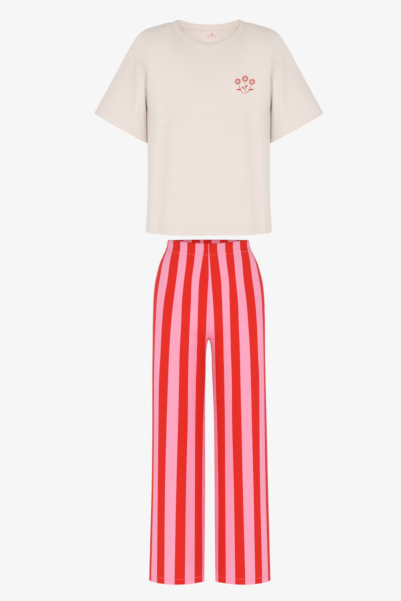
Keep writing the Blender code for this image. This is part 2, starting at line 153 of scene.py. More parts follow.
def unit(ways: Array) -> Array:
    """Vectors at length one."""
    return ways / np.maximum(np.linalg.norm(ways, axis=-1, keepdims=True), 1e-9)


def run_of(points: Array) -> Array:
    """Length along a polyline up to each of its points."""
    steps = np.linalg.norm(np.diff(points, axis=0), axis=1)
    return np.concatenate(([0.0], np.cumsum(steps)))


def even_steps(points: Array, shares: Array) -> Array:
    """Places (0 to 1 in the points' order) at the given shares of a polyline's length."""
    run = run_of(points)
    return np.interp(np.asarray(shares) * run[-1], run, np.linspace(0, 1, len(points)))


def read_off(points: Array, order: Array, at: Array | float) -> Array:
    """Points of a polyline where what rises along it, its order, has given values."""
    return np.stack([np.interp(at, order, points[:, axis]) for axis in range(3)], axis=-1)


def picked(points: Array, places: Array) -> Array:
    """Points of a polyline at places from 0 to 1 in its order."""
    return read_off(points, np.linspace(0, 1, len(points)), places)


def signed_power(value: Array, power: float) -> Array:
    """A power that keeps the sign, for superellipses."""
    return np.sign(value) * np.abs(value) ** power


def ease(value: Array | float) -> Array:
    """Smooth step from 0 to 1."""
    value = np.clip(value, 0.0, 1.0)
    return value * value * (3 - 2 * value)


def bezier(controls: tuple, t: Array | float) -> Array:
    """Cubic Bezier between four control rows."""
    first, second, third, last = controls
    return (first * (1 - t) ** 3 + 3 * second * t * (1 - t) ** 2
            + 3 * third * t * t * (1 - t) + last * t ** 3)


def face_outward(grid: Array, core: Triple) -> Array:
    """Turn a grid's columns round, if needed, so that its cloth looks away from the core.

    Args:
        grid: rows by columns of places.
        core: a place inside the garment.

    Returns:
        The grid, with its columns reversed or as it was.
    """
    looks = np.cross(grid[:-1, 1:] - grid[:-1, :-1], grid[1:, :-1] - grid[:-1, :-1])
    inward = np.sum(looks * (grid[:-1, :-1] - np.array(core))) < 0
    return grid[:, ::-1] if inward else grid


# ---- What is pressed and sewn into cloth -------------------------------------------
class Crease(NamedTuple):
    """A soft valley in the front or back, with a low ridge on one side of it."""

    side: Side
    x_start: float
    z_start: float
    x_end: float
    z_end: float
    depth: float
    width: float


@dataclass(frozen=True)
class CreaseShape:
    """How a crease is shaped across and along.

    Attributes:
        fade: share of its length in which a crease runs out at either end.
        ridge: height of the ridge beside it, as a share of its depth.
        ridge_at: place of that ridge, in widths from the valley.
        turning: how soon a crease is full where the cloth turns to its side.
    """

    fade: float = 0.3
    ridge: float = 0.45
    ridge_at: float = 1.7
    turning: float = 1.6

    def depth(self, creases: list[Crease], places: Array, normals: Array) -> Array:
        """Work out how far creases push cloth in.

        Args:
            creases: the creases of the piece.
            places: grid of places.
            normals: which way the cloth looks at each of them.

        Returns:
            The push inward at each place, in millimetres.
        """
        x, z = places[..., 0], places[..., 2]
        total = np.zeros(x.shape)
        for crease in creases:
            way = np.array((crease.x_end - crease.x_start, crease.z_end - crease.z_start))
            length = np.linalg.norm(way)
            way = way / length
            along = ((x - crease.x_start) * way[0] + (z - crease.z_start) * way[1]) / length
            across = ((x - crease.x_start) * way[1] - (z - crease.z_start) * way[0]) / crease.width
            ends = ease(along / self.fade) * ease((1 - along) / self.fade)
            valley = np.exp(-across ** 2)
            ridge = self.ridge * np.exp(-(across - self.ridge_at) ** 2)
            facing = ease(self.turning * crease.side * normals[..., 1])
            total += crease.depth * ends * facing * (valley - ridge)
        return total


@dataclass(frozen=True)
class Seam:
    """The groove where two pieces are sewn together."""

    depth: float = 0.7
    width: float = 2.6

    def sink(self, distance: Array) -> Array:
        """Depth of the groove at distances from the seam."""
        return self.depth * np.exp(-(distance / self.width) ** 2)


@dataclass(frozen=True)
class Hem:
    """A hem turned in once and sewn through.

    Attributes:
        height: how far it is turned in.
        turning: extra thickness that the turned-in cloth gives the inside.
        rows_up: distances from the edge of the lines of stitches.
        pull: how deep the stitches pull the cloth in.
        pull_width: how wide that dip is.
        first_row: height of the grid's first row above the edge.
        near_stitches: rows of the grid below and on a line of stitches.
        above_stitches: the next row above the top line.
        past_turning: rows of the grid just above the turned-in cloth.
        clear: how far below the stitches the ordinary rows end.
    """

    height: float = 22.0
    turning: float = 0.8
    rows_up: tuple[float, ...] = (17.0, 20.4)
    pull: float = 0.35
    pull_width: float = 1.6
    first_row: float = 1.5
    near_stitches: tuple[float, ...] = (-1.7, 0.0)
    above_stitches: float = 1.2
    past_turning: tuple[float, ...] = (0.6, 2.2)
    clear: float = 2.5

    def inside(self, distance: Array) -> Array:
        """Extra thickness on the inside, with a step 1 mm wide where the turning ends."""
        return self.turning * (1 - ease(distance - self.height + 0.5))

    def dip(self, distance: Array) -> Array:
        """Depth of the dips under the stitches at distances from the edge."""
        return sum(self.pull * np.exp(-((distance - up) / self.pull_width) ** 2)
                   for up in self.rows_up)

    def cut_rows(self, low: float, high: float, pitch: float) -> Array:
        """Heights of rows that catch the hem's stitches and its turned-in edge.

        Args:
            low: height of the hem's edge.
            high: height of the last row.
            pitch: distance between ordinary rows.

        Returns:
            Rising heights from low to high.
        """
        near = [0.0, self.first_row,
                *(up + step for up in self.rows_up for step in self.near_stitches),
                self.rows_up[-1] + self.above_stitches,
                *(self.height + step for step in self.past_turning)]
        between = np.arange(self.first_row + pitch, self.rows_up[0] - self.clear, pitch)
        count = round((high - low - near[-1]) / pitch)
        above = np.linspace(near[-1], high - low, count + 1)[1:]
        return low + np.sort(np.concatenate((near, between, above)))


@dataclass
class Panel:
    """A cut piece of cloth: a grid of places on the middle of its wall.

    Attributes:
        name: name of the visible piece.
        grid: rows by columns of places.
        wall: thickness of the cloth.
        closed: whether the last column repeats the first, as round a sleeve.
        bead: how far the cloth rounds out past its edges.
        normals: which way the cloth looks at each place.
        shift: outward move of the whole wall.
        lining: extra thickness on the inside.
    """

    name: str
    grid: Array
    wall: float
    closed: bool = False
    bead: float = 0.6
    normals: Array = field(init=False)
    shift: Array = field(init=False)
    lining: Array = field(init=False)

    def __post_init__(self) -> None:
        """Work out the normals and start with nothing pressed in."""
        around = self.grid
        if self.closed:
            around = np.concatenate((around[:, -2:-1], around, around[:, 1:2]), axis=1)
        across = np.gradient(around, axis=1)
        if self.closed:
            across = across[:, 1:-1]
        self.normals = unit(np.cross(across, np.gradient(self.grid, axis=0)))
        self.shift = np.zeros(self.grid.shape[:2])
        self.lining = np.zeros(self.grid.shape[:2])

    def from_edge(self, edge: Edge) -> Array:
        """Measure along the cloth from an edge.

        Args:
            edge: the edge.

        Returns:
            The distance of each place from it.
        """
        axis = 0 if edge in (Edge.LOW, Edge.HIGH) else 1
        steps = np.linalg.norm(np.diff(self.grid, axis=axis), axis=-1)
        run = np.insert(np.cumsum(steps, axis=axis), 0, 0.0, axis=axis)
        if edge in (Edge.LOW, Edge.FIRST):
            return run
        return (run[-1:] if axis == 0 else run[:, -1:]) - run

    def sew(self, edge: Edge, seam: Seam) -> None:
        """Sink the cloth along a seamed edge."""
        self.shift -= seam.sink(self.from_edge(edge))

    def turn_in(self, edge: Edge, hem: Hem) -> None:
        """Turn in and sew a hem along an edge."""
        distance = self.from_edge(edge)
        self.lining += hem.inside(distance)
        self.shift -= hem.dip(distance)

    def press(self, creases: list[Crease]) -> None:
        """Press creases into the cloth."""
        self.shift -= CreaseShape().depth(creases, self.grid, self.normals)

    def outward_at_edges(self) -> Array:
        """Find the way out of the piece at its edges.

        Returns:
            The way at each place on an edge, and nothing elsewhere.
        """
        away = np.zeros(self.grid.shape)
        away[0] += unit(self.grid[0] - self.grid[1])
        away[-1] += unit(self.grid[-1] - self.grid[-2])
        if not self.closed:
            away[:, 0] += unit(self.grid[:, 0] - self.grid[:, 1])
            away[:, -1] += unit(self.grid[:, -1] - self.grid[:, -2])
        return unit(away)

    def skins(self) -> tuple[Array, Array]:
        """Give the cloth its thickness.

        Returns:
            The outer and the inner skin, as grids of places.
        """
        middle = self.grid - self.outward_at_edges() * self.bead
        shift, lining = self.shift[..., None], self.lining[..., None]
        outer = middle + self.normals * (self.wall / 2 + shift)
        inner = middle - self.normals * (self.wall / 2 + lining - shift)
        return outer, inner

    def line_at(self, edge: Edge, distance: float) -> tuple[Array, Array]:
        """Find a line on the outer skin at a distance from the first or last row.

        Args:
            edge: the low or high edge.
            distance: how far from it, along the cloth.

        Returns:
            The line's points, and the normals at them.
        """
        run = self.from_edge(edge)
        outer = self.skins()[0]
        order = slice(None) if edge is Edge.LOW else slice(None, None, -1)
        points, looks = (
            np.array([read_off(source[order, column], run[order, column], distance)
                      for column in range(run.shape[1])])
            for source in (outer, self.normals))
        return points, unit(looks)

    def sizes(self) -> Triple:
        """Measure the cut piece as it lies flat.

        Returns:
            Its width, length and area, in metres.
        """
        wide = self.from_edge(Edge.LAST)[:, 0].max() * MM
        long = self.from_edge(Edge.HIGH)[0].max() * MM
        ahead = self.grid[1:, 1:] - self.grid[:-1, :-1]
        back = self.grid[1:, :-1] - self.grid[:-1, 1:]
        area = np.linalg.norm(np.cross(ahead, back), axis=-1).sum() / 2 * MM * MM
        return float(wide), float(long), float(area)

    def shell(self, material: Material, across: Array, along: Array,
              crisp: bool = True) -> Object:
        """Make the cloth as a closed mesh with rounded edges.

        Args:
            material: its finish.
            across: first flat coordinate of each place.
            along: second flat coordinate of each place.
            crisp: whether folds sharper than the mesh can round stay crisp.

        Returns:
            The new object.
        """
        outer, inner = self.skins()
        rows, columns = self.grid.shape[:2]
        wide = columns - 1 if self.closed else columns
        spots = np.arange(rows * columns).reshape(rows, columns)
        corner = (np.arange(rows)[:, None] * wide + np.arange(columns) % wide).reshape(-1)
        skin = rows * wide
        quads = np.stack((spots[:-1, :-1], spots[:-1, 1:], spots[1:, 1:], spots[1:, :-1]),
                         axis=-1).reshape(-1, 4)
        faces = [corner[quads], corner[quads][:, ::-1] + skin]
        places = [quads, quads[:, ::-1]]
        points = [outer[:, :wide].reshape(-1, 3), inner[:, :wide].reshape(-1, 3)]

        beads = ((outer + inner) / 2 + self.outward_at_edges() * self.bead).reshape(-1, 3)
        if self.closed:
            rims = [spots[0], spots[-1, ::-1]]
        else:
            rims = [np.concatenate((spots[0], spots[1:, -1], spots[-1, -2::-1],
                                    spots[-2::-1, 0]))]
        made = 2 * skin
        for rim in rims:
            own = made + np.arange(len(rim)) % (len(rim) - 1)
            made += len(rim) - 1
            points.append(beads[rim[:-1]])
            start, end = rim[:-1], rim[1:]
            faces.append(np.stack((corner[end], corner[start], own[:-1], own[1:]), axis=-1))
            faces.append(np.stack((own[1:], own[:-1], corner[start] + skin, corner[end] + skin),
                                  axis=-1))
            places += [np.stack((end, start, start, end), axis=-1)] * 2
        flat = np.stack((across.reshape(-1), along.reshape(-1)), axis=-1)
        return mesh_object(self.name, np.concatenate(points), np.concatenate(faces).tolist(),
                           material, flat[np.concatenate(places)], crisp)


def add_object(name: str, data: bpy.types.ID) -> Object:
    """Put a mesh, a light or the camera in the scene."""
    thing = bpy.data.objects.new(name, data)
    bpy.context.scene.collection.objects.link(thing)
    return thing


def mesh_object(name: str, points: Array, faces: list, material: Material,
                flat: Array | None = None, crisp: bool = False) -> Object:
    """Write a mesh and put it in the scene.

    Args:
        name: name of the piece.
        points: its vertices, in millimetres.
        faces: the vertex numbers of each face.
        material: its finish.
        flat: flat coordinates of each face's corners.
        crisp: whether sharp folds stay crisp.

    Returns:
        The new object.
    """
    mesh = bpy.data.meshes.new(name)
    mesh.from_pydata((points * MM).tolist(), [], faces)
    if flat is not None:
        layer = mesh.uv_layers.new(name=CLOTH_MAP)
        layer.data.foreach_set("uv", flat.reshape(-1).astype(np.float32))
    mesh.update()
    mesh.materials.append(material)
    mesh.shade_smooth()
    if crisp:
        mesh.set_sharp_from_angle(angle=np.radians(SHARP_FOLD))
    return add_object(name, mesh)


def join_normals(panels: list[Panel]) -> None:
    """Average the normals where the edges of panels meet.

    Args:
        panels: pieces whose edges share places.
    """
    totals: dict[tuple, Array] = {}
    meetings = []
    for panel in panels:
        edges = panel.outward_at_edges()
        for row, column in np.argwhere(np.abs(edges).sum(axis=-1) > 0):
            key = tuple(np.round(panel.grid[row, column], 1) + 0.0)
            totals[key] = totals.get(key, 0) + panel.normals[row, column]
            meetings.append((panel, row, column, key))
    for panel, row, column, key in meetings:
        panel.normals[row, column] = unit(totals[key])


# ---- Thread and print ------------------------------------------------------------
@dataclass(frozen=True)
class Strand:
    """A short length of thread or line of print that lies on cloth.

    Attributes:
        centre: points along it.
        side: way across it at each point.
        up: way off the cloth at each point.
        half_width: half its width at each point.
        half_height: half its height at each point.
    """

    centre: Array
    side: Array
    up: Array
    half_width: Array
    half_height: Array


def strands_object(name: str, strands: list[Strand], material: Material) -> Object:
    """Make strands as one mesh of small closed tubes.

    Args:
        name: name of the piece.
        strands: the strands.
        material: their finish.

    Returns:
        The new object.
    """
    turn = np.linspace(0, 2 * np.pi, STRAND_CORNERS, endpoint=False)
    points, faces, made = [], [], 0
    for strand in strands:
        wide = strand.side[:, None] * (strand.half_width[:, None] * np.cos(turn))[..., None]
        high = strand.up[:, None] * (strand.half_height[:, None] * np.sin(turn))[..., None]
        ring = strand.centre[:, None] + wide + high
        points.append(ring.reshape(-1, 3))
        spots = made + np.arange(len(points[-1])).reshape(ring.shape[:2])
        after = np.roll(spots, -1, axis=1)
        faces += np.stack((spots[:-1], spots[1:], after[1:], after[:-1]),
                          axis=-1).reshape(-1, 4).tolist()
        faces += [spots[0].tolist(), spots[-1, ::-1].tolist()]
        made += len(points[-1])
    return mesh_object(name, np.concatenate(points), faces, material)


@dataclass(frozen=True)
class StitchLine:
    """A line of machine stitches: short bars of thread that dive into the cloth.

    Attributes:
        pitch: distance from one stitch to the next.
        length: length of a stitch.
        radius: half the thickness of its thread.
        stations: where its points are, in lengths.
        lift: how high its middle is at them, in radii.
        girth: how thick it is at them, in radii.
    """

    pitch: float = 3.4
    length: float = 2.9
    radius: float = 0.3
    stations: tuple[float, ...] = (0.0, 0.22, 0.78, 1.0)
    lift: tuple[float, ...] = (-0.7, 0.45, 0.45, -0.7)
    girth: tuple[float, ...] = (0.55, 1.0, 1.0, 0.55)

    def strands(self, panel: Panel, edge: Edge, rows_up: tuple[float, ...]) -> list[Strand]:
        """Lay lines of stitches along an edge of a piece.

        Args:
            panel: the piece.
            edge: its low or high edge.
            rows_up: how far from the edge each line lies.

        Returns:
            One strand for each stitch.
        """
        stations = np.array(self.stations) * self.length
        lift, thick = np.array(self.lift) * self.radius, np.array(self.girth) * self.radius
        found = []
        for distance in rows_up:
            line, normals = panel.line_at(edge, distance)
            run = run_of(line)
            count = int(run[-1] / self.pitch)
            for number in range(count):
                at = (number + 0.5) * run[-1] / count - self.length / 2 + stations
                centre, up = read_off(line, run, at), unit(read_off(normals, run, at))
                side = unit(np.cross(up, np.gradient(centre, axis=0)))
                found.append(Strand(centre + up * lift[:, None], side, up, thick, thick))
        return found


class Pen(NamedTuple):
    """A drawn line: points in the drawing's own plane and half widths at them."""

    points: Array
    half_width: Array


@dataclass(frozen=True)
class Drawing:
    """A small line drawing that is printed on cloth.

    Attributes:
        name: name of its piece.
        centre: x and z of its middle.
        from_y: depth from which it is looked at.
        thickness: half the thickness of the print.
        thin: half width at which a line begins to run out.
        film: half the thickness where it runs out.
    """

    name: str
    centre: Pair
    from_y: float
    thickness: float = 0.22
    thin: float = 0.15
    film: float = 0.04

    def pens(self) -> list[Pen]:
        """The drawn lines, which each drawing gives for itself."""
        raise NotImplementedError

    def build(self, cloth: Object, ink: Material) -> None:
        """Print the drawing.

        Args:
            cloth: the piece that it is printed on.
            ink: its finish.
        """
        printed = strands_object(self.name, self.strands(cloth), ink)
        report_piece(printed)

    def strands(self, cloth: Object) -> list[Strand]:
        """Lay the drawing on a cloth, looking along +Y from its own depth.

        Args:
            cloth: the piece that it is printed on.

        Returns:
            One strand for each drawn line.
        """
        tree = BVHTree.FromPolygons([corner.co[:] for corner in cloth.data.vertices],
                                    [face.vertices[:] for face in cloth.data.polygons])
        found = []
        for pen in self.pens():
            centre, up = [], []
            for x, z in pen.points + np.array(self.centre):
                start = Vector((x * MM, self.from_y * MM, z * MM))
                place, normal, _, _ = tree.ray_cast(start, Vector((0, 1, 0)))
                centre.append(np.array(place) / MM)
                up.append(np.array(normal))
            centre, up = np.array(centre), unit(np.array(up))
            side = unit(np.cross(up, np.gradient(centre, axis=0)))
            height = np.where(pen.half_width > self.thin, self.thickness, self.film)
            found.append(Strand(centre, side, up, pen.half_width, height))
        return found


def curved_pen(start: Pair, end: Pair, bow: float, half_width: float,
               taper: bool = False) -> Pen:
    """Draw a bowed line, of even width or pointed at both ends.

    Args:
        start: where it starts.
        end: where it ends.
        bow: how far its middle stands off to the left.
        half_width: its greatest half width.
        taper: whether it is drawn out to points, as a petal or leaf.

    Returns:
        The drawn line.
    """
    start, end = np.array(start, float), np.array(end, float)
    way = end - start
    length = np.linalg.norm(way)
    share = np.linspace(0, 1, max(int(length / PEN_STEP), PEN_SPANS) + 1)
    left = np.array((-way[1], way[0])) / length
    points = start + way * share[:, None] + left * (4 * bow * share * (1 - share))[:, None]
    if taper:
        width = half_width * np.sin(np.pi * share ** 0.8) ** 0.8
    else:
        width = half_width * np.minimum(1, 6 * np.minimum(share, 1 - share) + 0.25)
    return Pen(points, np.maximum(width, 0.05))


def daisy(centre: Pair, radius: float, petals: int, turn: float, half_width: float,
          opening: float = 0.34, dot: float = 0.16) -> list[Pen]:
    """Draw a daisy head: petals round an open middle and a dot in it.

    Args:
        centre: middle of the head.
        radius: reach of its petals.
        petals: number of petals.
        turn: how far it is turned, in degrees.
        half_width: greatest half width of a petal.
        opening: reach of the open middle, in radii.
        dot: reach of the dot, in radii.

    Returns:
        Its drawn lines.
    """
    middle = np.array(centre, float)
    pens = []
    for number in range(petals):
        angle = np.radians(turn + 360 * number / petals)
        way = np.array((np.cos(angle), np.sin(angle)))
        pens.append(curved_pen(tuple(middle + way * radius * opening),
                               tuple(middle + way * radius), 0.0, half_width, taper=True))
    reach = radius * dot
    pens.append(Pen(middle + np.array([(-reach, 0), (-reach / 2, 0), (reach / 2, 0), (reach, 0)]),
                    np.array((0.4, 0.95, 0.95, 0.4)) * reach))
    return pens


# ---- Finishes ----------------------------------------------------------------------
def linear(colour: Triple) -> tuple[float, float, float, float]:
    """An sRGB colour as the linear one that a material takes."""
    red, green, blue = (((value + 0.055) / 1.055) ** 2.4 for value in colour)
    return red, green, blue, 1.0


class Graph:
    """A tree of shader nodes, with short calls to add and link them."""

    def __init__(self, tree: bpy.types.NodeTree) -> None:
        """Take up the tree of a material or of the world."""
        self.nodes, self.links = tree.nodes, tree.links

    def add(self, kind: str, inputs: dict | None = None, **settings) -> bpy.types.Node:
        """Add a node.

        Args:
            kind: Blender's name of the node's type.
            inputs: what goes into its sockets, values or other nodes' outputs.
            **settings: its own settings.

        Returns:
            The new node.
        """
        node = self.nodes.new(kind)
        for key, value in settings.items():
            setattr(node, key, value)
        for key, value in (inputs or {}).items():
            self.feed(node.inputs[key], value)
        return node

    def feed(self, socket: Socket, value: object) -> None:
        """Link a socket to an output, or set its value.

        Args:
            socket: the socket.
            value: a value or another node's output.
        """
        if isinstance(value, Socket):
            self.links.new(value, socket)
        else:
            socket.default_value = value

    def math(self, operation: str, first: object, second: object = 0.0) -> Socket:
        """Add a sum of two values and return its output.

        Args:
            operation: Blender's name of the sum.
            first: its first value or output.
            second: its second value or output.

        Returns:
            The sum's output.
        """
        return self.add("ShaderNodeMath", {0: first, 1: second}, operation=operation).outputs[0]

    def scaled(self, value: Socket, gain: float, offset: float) -> Socket:
        """A value times a gain plus an offset."""
        node = self.add("ShaderNodeMath", {0: value, 1: gain, 2: offset},
                        operation="MULTIPLY_ADD")
        return node.outputs[0]


class ClothGraph(Graph):
    """The nodes of a material with a cloth shader."""

    def __init__(self, name: str) -> None:
        """Start the material.

        Args:
            name: its name.
        """
        self.material = bpy.data.materials.new(name)
        self.material.use_nodes = True
        super().__init__(self.material.node_tree)
        self.shader = self.nodes["Principled BSDF"]

    def flat_place(self) -> tuple[Socket, Socket]:
        """The two flat coordinates of the cloth."""
        flat = self.add("ShaderNodeUVMap", uv_map=CLOTH_MAP)
        parts = self.add("ShaderNodeSeparateXYZ", {0: flat.outputs[0]})
        return parts.outputs[0], parts.outputs[1]

    def grain(self, fine: float) -> Socket:
        """Even noise in all directions, with a given number of blobs a metre."""
        place = self.add("ShaderNodeTexCoord").outputs["Object"]
        return self.add("ShaderNodeTexNoise", {"Vector": place, "Scale": fine}).outputs[0]

    def noise(self, across: object, along: object, fine: float,
              detail: float = 2.0) -> Socket:
        """Add even noise over flat coordinates.

        Args:
            across: the first coordinate.
            along: the second one.
            fine: number of blobs a millimetre.
            detail: how many finer layers it has.

        Returns:
            The noise's output, round 0.5.
        """
        place = self.add("ShaderNodeCombineXYZ", {0: across, 1: along})
        return self.add("ShaderNodeTexNoise", {"Vector": place.outputs[0], "Scale": fine,
                                               "Detail": detail}).outputs[0]

    def shaded(self, colour: object, shade: Socket, strength: float) -> Socket:
        """Lighten and darken a colour by noise.

        Args:
            colour: the colour or its output.
            shade: noise round 0.5.
            strength: how strongly it counts.

        Returns:
            The output of the shaded colour.
        """
        gain = self.scaled(shade, strength, 1.0 - strength / 2)
        mix = self.add("ShaderNodeMix", {0: 1.0}, data_type="RGBA", blend_type="MULTIPLY")
        self.feed(mix.inputs[6], colour)
        grey = self.add("ShaderNodeCombineColor", {0: gain, 1: gain, 2: gain})
        self.feed(mix.inputs[7], grey.outputs[0])
        return mix.outputs[2]

    def knit(self, across: object, along: object, wale: float, course: float) -> Socket:
        """Relief of plain knitting: columns of V-shaped loops, on a yarn that is round.

        Args:
            across: flat coordinate across the columns.
            along: flat coordinate along them.
            wale: width of a column of loops.
            course: height of a loop.

        Returns:
            The output of the relief, from 0 to 1.
        """
        leg = self.math("PINGPONG", self.math("DIVIDE", across, wale), 0.5)
        loop = self.math("ADD", self.math("DIVIDE", along, course), leg)
        loops = self.math("SINE", self.math("MULTIPLY", loop, 2 * np.pi))
        yarn = self.math("SINE", self.math("MULTIPLY", leg, 2 * np.pi))
        return self.math("ADD", self.scaled(loops, 0.3, 0.3), self.math("MULTIPLY", yarn, 0.4))

    def bump(self, relief: Socket, depth: float, strength: float) -> None:
        """Give the shader a relief of the given depth in millimetres."""
        node = self.add("ShaderNodeBump", {"Height": relief, "Distance": depth * MM,
                                           "Strength": strength})
        self.links.new(node.outputs[0], self.shader.inputs["Normal"])

    def finish(self, colour: object, roughness: float, sheen: float,
               specular: float = 0.25) -> Material:
        """Set the shader's plain values and give back the material.

        Args:
            colour: the cloth's colour or its output.
            roughness: how matt it is.
            sheen: how strongly its nap catches light.
            specular: how strongly it mirrors light.

        Returns:
            The finished material.
        """
        self.feed(self.shader.inputs["Base Color"], colour)
        self.shader.inputs["Roughness"].default_value = roughness
        self.shader.inputs["Specular IOR Level"].default_value = specular
        self.shader.inputs["Sheen Weight"].default_value = sheen
        self.shader.inputs["Sheen Roughness"].default_value = 0.5
        return self.material


@dataclass(frozen=True)
class Jersey:
    """Plain cream jersey."""

    name: str = "cream_jersey_knit"
    colour: Triple = (0.918, 0.878, 0.850)
    wale: float = 1.0
    course: float = 0.8

    def material(self) -> Material:
        """Make the jersey's material.

        Returns:
            The material.
        """
        graph = ClothGraph(self.name)
        across, along = graph.flat_place()
        narrowed = graph.math("MULTIPLY", across, 3.0)
        heather = graph.noise(narrowed, along, fine=0.35, detail=4.0)
        cloud = graph.noise(across, along, fine=0.012)
        colour = graph.shaded(linear(self.colour), heather, strength=0.05)
        colour = graph.shaded(colour, cloud, strength=0.03)
        loops = graph.knit(across, along, self.wale, self.course)
        graph.bump(loops, depth=0.16, strength=0.5)
        return graph.finish(colour, roughness=0.9, sheen=0.06)


@dataclass(frozen=True)
class Rib:
    """Cream rib of the neckband, whose ribs are in its mesh."""

    name: str = "cream_rib_knit"
    colour: Triple = (0.910, 0.872, 0.838)
    wale: float = 1.2
    course: float = 0.8

    def material(self) -> Material:
        """Make the rib's material.

        Returns:
            The material.
        """
        graph = ClothGraph(self.name)
        across, along = graph.flat_place()
        heather = graph.noise(across, along, fine=0.5, detail=4.0)
        colour = graph.shaded(linear(self.colour), heather, strength=0.05)
        loops = graph.knit(across, along, self.wale, self.course)
        graph.bump(loops, depth=0.14, strength=0.5)
        return graph.finish(colour, roughness=0.9, sheen=0.06)


@dataclass(frozen=True)
class StripedCloth:
    """Soft single jersey with lengthwise stripes of red and pink.

    Attributes:
        stripe: width of a stripe as it lies flat.
        fuzz: how far a stripe's edge runs into the next.
        wander: how far that edge strays from a straight line, in fuzzes.
    """

    name: str = "striped_jersey"
    red: Triple = (0.900, 0.150, 0.105)
    pink: Triple = (0.990, 0.645, 0.750)
    stripe: float = 33.5
    fuzz: float = 0.8
    wander: float = 1.2
    wale: float = 0.9
    course: float = 0.7

    def material(self) -> Material:
        """Make the striped cloth's material.

        Returns:
            The material.
        """
        graph = ClothGraph(self.name)
        count, along = graph.flat_place()
        across = graph.math("MULTIPLY", count, self.stripe)
        stray = graph.noise(across, along, fine=1.3, detail=3.0)
        nudge = graph.math("MULTIPLY", graph.math("SUBTRACT", stray, 0.5),
                           self.wander * self.fuzz / self.stripe)
        # One red and one pink stripe are a whole wave, which is at 0.25 at every edge.
        place = graph.scaled(graph.math("ADD", count, nudge), 0.5, 0.25)
        wave = graph.math("ABSOLUTE", graph.math("SUBTRACT", graph.math("FRACT", place), 0.5))
        soft = self.fuzz / self.stripe / 4
        share = graph.add("ShaderNodeMapRange", {0: wave, 1: 0.25 - soft, 2: 0.25 + soft})
        mix = graph.add("ShaderNodeMix", {0: share.outputs[0]}, data_type="RGBA")
        graph.feed(mix.inputs[6], linear(self.pink))
        graph.feed(mix.inputs[7], linear(self.red))
        narrowed = graph.math("MULTIPLY", across, 6.0)
        streak = graph.noise(narrowed, along, fine=0.12, detail=3.0)
        colour = graph.shaded(mix.outputs[2], streak, strength=0.06)
        loops = graph.knit(across, along, self.wale, self.course)
        graph.bump(loops, depth=0.14, strength=0.5)
        return graph.finish(colour, roughness=0.85, sheen=0.03)


@dataclass(frozen=True)
class Thread:
    """Polyester sewing thread."""

    name: str
    colour: Triple

    def material(self) -> Material:
        """Make the thread's material.

        Returns:
            The material.
        """
        graph = ClothGraph(self.name)
        twist = graph.grain(2500.0)
        colour = graph.shaded(linear(self.colour), twist, strength=0.12)
        graph.bump(twist, depth=0.08, strength=0.5)
        return graph.finish(colour, roughness=0.55, sheen=0.0, specular=0.4)


@dataclass(frozen=True)
class Ink:
    """Soft raised print."""

    name: str
    colour: Triple

    def material(self) -> Material:
        """Make the print's material.

        Returns:
            The material.
        """
        graph = ClothGraph(self.name)
        grain = graph.grain(1800.0)
        colour = graph.shaded(linear(self.colour), grain, strength=0.10)
        graph.bump(grain, depth=0.06, strength=0.4)
        return graph.finish(colour, roughness=0.6, sheen=0.0, specular=0.3)


# ---- T-shirt -----------------------------------------------------------------------
class ShirtSection(NamedTuple):
    """A level section of the T-shirt's body."""

    z: float
    half_width: float
    front: float
    back: float
    side_y: float
    swell: float
    square: float


class ShirtFold(NamedTuple):
    """A soft fold that hangs to the hem."""

    side: Side
    x_top: float
    z_top: float
    x_hem: float
    depth: float
    width: float


class RidgePoint(NamedTuple):
    """A point of the shoulder line."""

    x: float
    y: float
    z: float


class NeckPoint(NamedTuple):
    """Heights of the neckband at an angle round the neck."""

    angle: float
    seam_z: float
    edge_z: float


class NeckPlan(NamedTuple):
    """Half width and depths of a ring round the neck."""

    half_width: float
    front: float
    back: float


class YokeLean(NamedTuple):
    """Ways in which the cloth leaves the top edge and the chest."""

    share: float
    top_x: float
    top_y: float
    top_z: float
    low_x: float
    low_y: float
    low_z: float


class SleeveLean(NamedTuple):
    """Ways in which the sleeve leaves its armhole and its cuff."""

    lift: float
    start_x: float
    start_y: float
    start_z: float
    end_x: float
    end_y: float
    end_z: float


